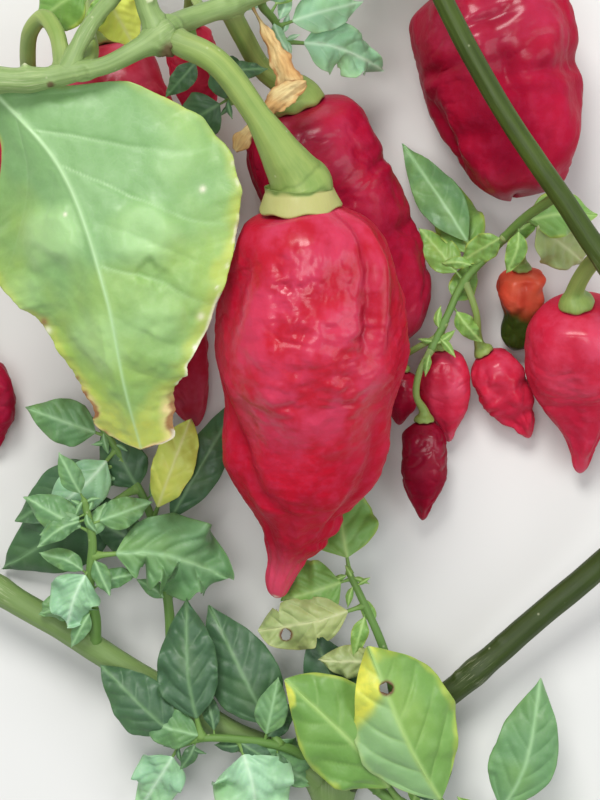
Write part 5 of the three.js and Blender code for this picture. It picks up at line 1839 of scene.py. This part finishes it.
@dataclass(frozen=True)
class SingleLeaves:
    """The large leaf and the dry one."""

    # its under colour is also the painted sheen on the swellings' tops
    large: LeafFinish = LeafFinish("large_leaf", (134, 174, 116), (110, 154, 90), (178, 212, 160),
                                   (204, 206, 86), (158, 186, 80), (178, 216, 150),
                                   (226, 206, 146), (146, 98, 60))
    dry: DryFinish = DryFinish("dry_leaf", (218, 196, 140), (204, 160, 100), (160, 114, 68))

    def build(self) -> None:
        """Builds both in place of their solids."""
        for name, node, slot, leaves, finish in (
                ("leaf_large_blade", "leaf_large", "leaf_large", (LargeLeaf(),), self.large),
                ("dry_leaf_strip", "dry_leaf", "dry", DRY_STRIPS, self.dry)):
            shell = Shell()
            for leaf in leaves:
                shell.add(*leaf.surface())
            shell.publish(name, finish.build(), slot, (node,))


@dataclass(frozen=True)
class Studio:
    """The floor, the lights and the camera, which looks straight down."""

    camera_height: float = 396.7
    lens: float = 100.0
    sensor: float = 36.0
    floor: float = 4.0
    sky: Triple = (0.94, 0.97, 1.0)
    sky_strength: float = 0.42
    middle: Point = (0.0, 0.0, 0.03)
    lights: tuple[tuple[str, Point, float, float, Triple], ...] = (
        ("key", (-0.12, 0.42, 0.62), 0.3, 3.8, (1.0, 0.985, 0.96)),
        ("front", (-0.1, -0.04, 0.72), 0.3, 1.35, (1.0, 0.99, 0.98)),
        ("fill", (0.5, -0.1, 0.5), 0.5, 1.4, (0.95, 0.97, 1.0)))

    def light(self, name: str, place: Point, size: float, power: float, colour: Triple) -> None:
        """Adds a soft round light that faces the branch.

        Args:
            name: its name.
            place: in metres.
            size: in metres.
            power: in watts.
            colour: as linear values.
        """
        data = bpy.data.lights.new(name, "AREA")
        data.shape, data.size, data.energy, data.color = "DISK", size, power, colour
        lamp = bpy.data.objects.new(name, data)
        lamp.location = place
        toward = np.array(self.middle) - np.array(place)
        turn = math.atan2(toward[0], -toward[1])
        tilt = math.acos(-toward[2] / float(np.linalg.norm(toward)))
        lamp.rotation_euler = (tilt, 0, turn + math.pi)
        bpy.context.scene.collection.objects.link(lamp)

    def build(self) -> None:
        """Makes the floor, the sky, the lights and the camera."""
        scene = bpy.context.scene
        mesh = bpy.data.meshes.new("floor")
        corner = np.array([(-1, -1, 0), (1, -1, 0), (1, 1, 0), (-1, 1, 0)]) * self.floor / 2
        mesh.from_pydata(corner.tolist(), [], [(0, 1, 2, 3)])
        mesh.materials.append(FloorFinish().build())
        floor = bpy.data.objects.new("floor", mesh)
        scene.collection.objects.link(floor)
        floor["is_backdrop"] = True
        world = bpy.data.worlds.new("sky")
        world.use_nodes = True
        background = world.node_tree.nodes["Background"]
        background.inputs["Color"].default_value = (*self.sky, 1)
        background.inputs["Strength"].default_value = self.sky_strength
        scene.world = world
        for row in self.lights:
            self.light(*row)
        data = bpy.data.cameras.new("camera")
        data.lens, data.sensor_fit, data.sensor_height = self.lens, "VERTICAL", self.sensor
        data.clip_start, data.clip_end = 0.01, 10.0
        camera = bpy.data.objects.new("camera", data)
        camera.location = (np.array([0, 0, self.camera_height]) + LAYOUT_SHIFT) * MM
        scene.collection.objects.link(camera)
        scene.camera = camera
        scene.view_settings.view_transform = "Standard"


def corners() -> list[list[float]]:
    """The whole object's lowest and highest corners, as plain numbers."""
    return [[float(x) for x in corner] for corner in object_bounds()]


def main() -> None:
    """Builds the studio and the branch."""
    logging.basicConfig(level=logging.INFO, format="%(message)s")
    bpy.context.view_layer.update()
    for assembly in (Studio(), Stems(), Pods(), Foliage(), SingleLeaves()):
        LOG.info("Building %s", type(assembly).__name__)
        assembly.build()


if __name__ == "__main__":
    main()
